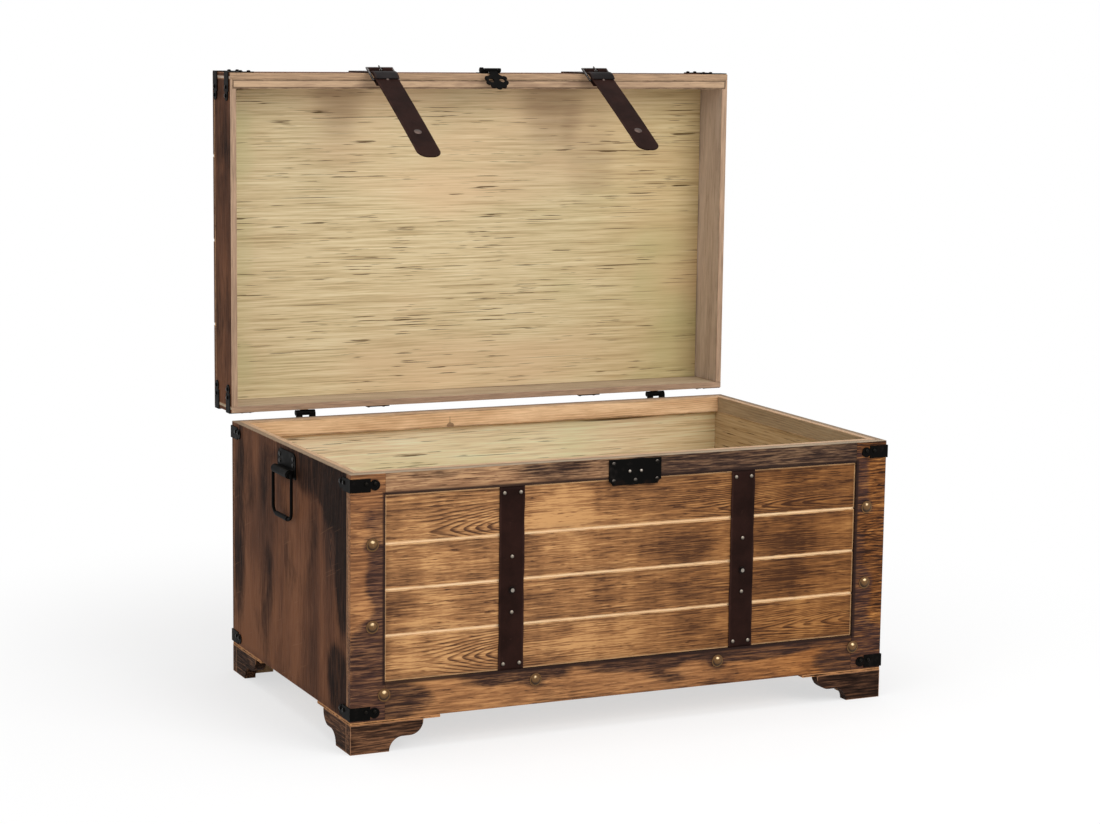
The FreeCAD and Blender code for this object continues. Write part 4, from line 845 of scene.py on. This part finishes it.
def strapLeather(name, seed, hide, dark):
    # pebbled hide, dark and light in a slow cloud, rubbed lighter along a strap's edges and in scuffs
    f = Finish(name)
    cells = {"Vector": f.place, "Scale": hideLook["pebbles"]}
    pebble = f.put("ShaderNodeTexVoronoi", cells, feature="SMOOTH_F1").outputs["Distance"]
    crease = f.noise(hideLook["creases"], seed, 5, 0.65)
    cloud = f.noise(hideLook["clouds"], seed + 1, 4, 0.6)
    off = f.distance(f.sum("ABSOLUTE", f.axis["x"]), strapX)
    ragged = f.add(off, f.times(crease, 0.004))
    colour = f.mix(f.step(cloud, *hideLook["mottle"]), tint(*dark), tint(*hide))
    rub = f.times(f.step(ragged, *hideLook["rubEdge"]), f.step(cloud, *hideLook["rubPatch"]))
    colour = f.mix(f.times(rub, 0.6), colour, tint(*hideLook["rubbed"]))
    scuff = f.step(crease, *hideLook["scuff"], 0.0, 0.45)
    colour = f.mix(scuff, colour, tint(*hideLook["rubbed"]))
    rough = f.add(0.46, f.centred(crease, 0.35))
    height = f.add(f.times(pebble, 0.4), f.times(crease, 0.9))
    return f.shade(colour, rough, height, 0.35, 0.0005, Specular_IOR_Level=0.02)


strapHide = strapLeather("strapHide", 12.0, *hideLook["strap"])
# the keeper's greyer hide is a painted sheen on the same leather
keeperSheenHide = strapLeather("keeperSheenHide", 17.0, *hideLook["keeper"])
strapShape = {
    "half": 0.018, "thick": 0.002,
    "edge": 0.45,      # radius of the round edges, as a share of the thickness
    "crease": 0.003,  # distance of the pressed crease from the edge
    "creaseWide": 0.0006, "creaseDeep": 0.00022,
    "flat": 25,        # points across a face
    "turn": 7,         # points round an edge, its ends among them
}


def strapSection(half, thick):
    # across the strap: flat faces with round edges and a shallow crease pressed along each side;
    # height = half the thickness less a bell curve at the crease
    edge = strapShape["edge"] * thick
    turn = np.linspace(0, np.pi, strapShape["turn"])[1:-1]
    x = np.linspace(-1, 1, strapShape["flat"]) * (half - edge)
    fromCrease = np.abs(x) - half + strapShape["crease"]
    dent = strapShape["creaseDeep"] * np.exp(-(fromCrease / strapShape["creaseWide"]) ** 2)
    top = thick / 2 - dent
    right = np.c_[half - edge + edge * np.sin(turn), thick / 2 * np.cos(turn)]
    left = np.c_[-(half - edge) - edge * np.sin(turn), -thick / 2 * np.cos(turn)]
    return np.r_[np.c_[x, top], right, np.c_[-x, -top[::-1]], left]


def strap(name, body, path, up, half, hide=strapHide, thick=strapShape["thick"], middle=0.0):
    # the section carried along a path: point = path + x across + height along the strap's upper side
    sections = np.stack([strapSection(wide, thick) for wide in np.broadcast_to(half, len(path))])
    across = np.array([1.0, 0.0, 0.0])
    grid = path[:, None, :] + sections[:, :, :1] * across + sections[:, :, 1:] * up[:, None, :]
    grid[:, :, 0] += middle
    rings, around = grid.shape[:2]
    ring = np.arange(rings - 1)[:, None] * around
    here = np.arange(around)[None, :]
    after = np.roll(here, -1, axis=1)
    corners = [ring + here, ring + after, ring + around + after, ring + around + here]
    quads = np.stack(corners, -1).reshape(-1, 4)
    caps = [list(range(around))[::-1], list(range((rings - 1) * around, rings * around))]
    mesh = bpy.data.meshes.new(name)
    mesh.from_pydata(grid.reshape(-1, 3).tolist(), [], quads.tolist() + caps)
    mesh.validate()
    mesh.update()
    mesh.polygons.foreach_set("use_smooth", np.ones(len(mesh.polygons), bool))
    mesh.materials.append(hide)
    piece = show(name, mesh)
    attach(piece, body)
    return piece


def inPlane(line):
    # points (y, z) as points in space, at x = 0
    return np.c_[np.zeros(len(line)), line]


def arc(centre, radius, start, end, count):
    # points on a circle in the y-z plane, angles in degrees from +Y towards +Z
    angle = np.radians(np.linspace(start, end, count))
    return np.c_[centre[0] + radius * np.cos(angle), centre[1] + radius * np.sin(angle)]


def sides(line):
    # the upper side of a line in the y-z plane: its direction turned a quarter
    run = np.gradient(line, axis=0)
    run /= np.linalg.norm(run, axis=1, keepdims=True)
    return np.c_[np.zeros(len(line)), run[:, 1], -run[:, 0]]


# front straps: straight up the front, wandering and swelling a little by sines of the height
frontStraps = {
    "low": 0.0932, "high": 0.3398, "face": -0.28255, "steps": 60,
    "wander": ((0.00025, 61), (0.0002, 143)),  # height of each sine, waves
    "swell": (0.00015, 87),
}
for hand, sign in hands.items():
    z = np.linspace(frontStraps["low"], frontStraps["high"], frontStraps["steps"])
    (slow, slowWaves), (quick, quickWaves) = frontStraps["wander"]
    swell, swellWaves = frontStraps["swell"]
    wander = slow * np.sin(z * slowWaves + sign) + quick * np.sin(z * quickWaves)
    path = np.c_[wander, np.full_like(z, frontStraps["face"]), z]
    up = np.tile([0.0, -1.0, 0.0], (len(z), 1))
    half = strapShape["half"] + swell * np.sin(z * swellWaves + sign)
    piece = strap(f"front_strap_{hand}", "trunk", path, up, half, middle=sign * strapX)
    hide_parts("front_straps")

# straps over the lid: up its back, over the top, down its front and round the buckle's bar
lidStraps = {
    "tail": 0.20655,         # y of the end at the back rim
    "low": 0.3785, "high": 0.8675, "back": 0.28555,
    "split": 0.2115,         # y where the prong's slot splits the strap
    "bend": 0.001,
    "join": 0.0002,          # between a run's last point and a bend's first
    "bar": (0.20155, 0.8711),
    "eye": 0.00266,
    "eyeStart": 0.0032,      # y from the bar where the eye begins
    "eyeTurn": (-78, -330),  # degrees round the bar
    "steps": {"edge": 14, "bend": 7, "back": 60, "split": 6, "eye": 26},
    "strip": 0.00775,        # half the width beside the slot
    "stripMiddle": 0.01025,
}
bar, join, bend, steps = (lidStraps[key] for key in ("bar", "join", "bend", "steps"))
low, back, high = (lidStraps[key] for key in ("low", "back", "high"))
lowCorner = (back - bend, low + bend)
highCorner = (back - bend, high - bend)
split = (lidStraps["split"], high)
overLid = np.concatenate([
    np.linspace((lidStraps["tail"], low), (lowCorner[0] - join, low), steps["edge"]),
    arc(lowCorner, bend, -90, 0, steps["bend"]),
    np.linspace((back, lowCorner[1] + join), (back, highCorner[1] - join), steps["back"]),
    arc(highCorner, bend, 0, 90, steps["bend"]),
    np.linspace((highCorner[0] - join, high), split, steps["edge"]),
])
eyeStart = (bar[0] + lidStraps["eyeStart"], high + join)
roundBar = np.concatenate([
    np.linspace(split, eyeStart, steps["split"]),
    arc(bar, lidStraps["eye"], *lidStraps["eyeTurn"], steps["eye"]),
])
for hand, sign in hands.items():
    piece = strap(f"lid_strap_{hand}", "lid", inPlane(overLid), sides(overLid), strapShape["half"],
                  middle=sign * strapX)
    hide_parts("lid_straps")
    for part, side in (("outer", -1), ("inner", 1)):
        stripX = sign * strapX + side * lidStraps["stripMiddle"]
        piece = strap(f"lid_strap_eye_{hand}_{part}", "lid", inPlane(roundBar), sides(roundBar),
                      lidStraps["strip"], middle=stripX)
        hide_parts("lid_straps")

# free strap ends: flat with a round tip, and a tail folded round the buckle's near bar
freeStrap = {
    "droop": 31.0, "sag": 0.0012, "lift": 0.0025,
    "start": -0.01, "end": {"left": -0.228, "right": -0.216},
    "tip": 0.014,  # radius of the tip's corners
    "tail": -0.0372, "fold": -0.0263, "foldJoin": 0.0003, "foldTurn": (-90, 25),
    "runSteps": 60, "tipSteps": 14, "tailSteps": 10, "foldSteps": 14,
}
droop = np.radians(freeStrap["droop"])
lean = np.array([[np.cos(droop), -np.sin(droop)], [np.sin(droop), np.cos(droop)]])


def freeEnd(end):
    # a line that sags by half a sine, and its half width, taken in at the tip by quarter circles
    start, tip = freeStrap["start"], freeStrap["tip"]
    curve = 1 - np.sin(np.linspace(0, np.pi / 2, freeStrap["tipSteps"])[1:])
    run = np.concatenate([np.linspace(start, end + tip, freeStrap["runSteps"]), end + tip * curve])
    fromTip = np.clip(run - end, 0, tip)
    half = strapShape["half"] - tip + np.sqrt(tip ** 2 - (tip - fromTip) ** 2)
    sag = freeStrap["sag"] * np.sin(np.pi * (run - start) / (end - start))
    return np.c_[run, freeStrap["lift"] + sag], half


below = -freeStrap["lift"]
foldStart = (freeStrap["fold"] - freeStrap["foldJoin"], below)
folded = np.concatenate([
    np.linspace((freeStrap["tail"], below), foldStart, freeStrap["tailSteps"]),
    arc((freeStrap["fold"], 0.0), freeStrap["lift"], *freeStrap["foldTurn"], freeStrap["foldSteps"]),
])
# the keeper: a stiff leather loop that stands up over the strap at the near bar,
# height = a slope plus rise times a power of half a sine between its two ends
keeper = {
    "from": -0.0095, "to": -0.03,
    "low": 0.0031, "slope": 0.0014, "rise": 0.003, "power": 0.7,
    "half": 0.0188, "thick": 0.0018, "steps": 22,
}
share = np.linspace(0, 1, keeper["steps"])
loop = np.c_[
    keeper["from"] + (keeper["to"] - keeper["from"]) * share,
    keeper["low"] + keeper["slope"] * share + keeper["rise"] * np.sin(np.pi * share) ** keeper["power"],
]
for hand, sign in hands.items():
    upper, halfWide = freeEnd(freeStrap["end"][hand])
    for part, line, half, thick, hide in (
        ("free", upper, halfWide, strapShape["thick"], strapHide),
        ("fold", folded, strapShape["half"], strapShape["thick"], strapHide),
        ("keeper", loop, keeper["half"], keeper["thick"], keeperSheenHide),
    ):
        placed = line @ lean.T + np.array(bar)
        piece = strap(f"strap_{part}_{hand}", f"strap_{hand}", inPlane(placed), sides(placed), half,
                      hide, thick, sign * strapX)
        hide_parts(f"strap_end_{hand}")
print("straps done")

# studio: soft lamps, white surroundings, pale floor
studio = {
    "world": 0.6,
    "lamps": {  # place, aim, size, power
        "keyLamp": ((1.3, -3.2, 2.4), (0, 0, 0.4), 2.4, 66.0),
        "fillLamp": ((-3.0, -1.6, 1.6), (0, 0, 0.4), 2.0, 14.0),
        "topLamp": ((0.0, -0.4, 3.4), (0, 0, 0.3), 2.4, 34.0),
    },
}
white = (1, 1, 1, 1)
for name, (spot, aim, size, power) in studio["lamps"].items():
    lampData = bpy.data.lights.new(name, "AREA")
    lampData.shape = "SQUARE"
    lampData.size = size
    lampData.energy = power
    lamp = show(name, lampData)
    lamp.location = spot
    lamp.rotation_euler = (Vector(aim) - Vector(spot)).to_track_quat("-Z", "Y").to_euler()

# the world is white to the camera and a plain level of light to the trunk
world = bpy.data.worlds.new("studioWorld")
scene.world = world
sky = Wiring(world)
glow = sky.put("ShaderNodeBackground", {"Color": white, "Strength": studio["world"]})
backdrop = sky.put("ShaderNodeBackground", {"Color": white, "Strength": 1.0})
choose = sky.put("ShaderNodeMixShader", {0: sky.seen(), 1: glow.outputs[0], 2: backdrop.outputs[0]})
sky.put("ShaderNodeOutputWorld", {"Surface": choose.outputs[0]})

# floor: pale and matt near the trunk, where its shadow falls, white further off
floorShape = {"reach": 14.0, "shadowFrom": 0.55, "shadowTo": 1.2, "near": 0.62, "pale": (0.95, 0.95, 0.95, 1)}
reach = floorShape["reach"]
floorMesh = bpy.data.meshes.new("floor")
floorMesh.from_pydata(
    [(-reach, -reach, 0), (reach, -reach, 0), (reach, reach, 0), (-reach, reach, 0)], [], [(0, 1, 2, 3)])
floor = show("floor", floorMesh)
ground = Finish("paleFloor")
squares = [ground.times(ground.axis[letter], ground.axis[letter]) for letter in "xy"]
fromMiddle = ground.sum("SQRT", ground.add(*squares))
far = ground.step(fromMiddle, floorShape["shadowFrom"], floorShape["shadowTo"], floorShape["near"], 1.0)
matt = ground.put("ShaderNodeBsdfDiffuse", {"Color": floorShape["pale"]})
light = ground.put("ShaderNodeEmission", {"Color": white, "Strength": 1.0})
choose = ground.put("ShaderNodeMixShader", {
    0: ground.times(far, ground.seen()), 1: matt.outputs[0], 2: light.outputs[0],
})
ground.put("ShaderNodeOutputMaterial", {"Surface": choose.outputs[0]})
floorMesh.materials.append(ground.material)

# camera at the photograph's angle
cameraView = {
    "lens": 85.23,
    "sensor": 36.0,
    "spot": (-1.54807, -3.35497, 0.94203),
    "right": (0.90756, -0.419734, 0.01255),
    "down": (-0.050798, -0.139406, -0.988932),
    "forward": (0.416838, 0.896877, -0.147841),
}
cameraData = bpy.data.cameras.new("photoCamera")
cameraData.sensor_fit = "HORIZONTAL"
cameraData.sensor_width = cameraView["sensor"]
cameraData.lens = cameraView["lens"]
camera = show("photoCamera", cameraData)
upward = [-c for c in cameraView["down"]]
backward = [-c for c in cameraView["forward"]]
turn = Matrix((cameraView["right"], upward, backward)).transposed()
camera.matrix_world = Matrix.Translation(cameraView["spot"]) @ turn.to_4x4()
scene.camera = camera
scene.view_settings.view_transform = "Standard"
print("studio done")
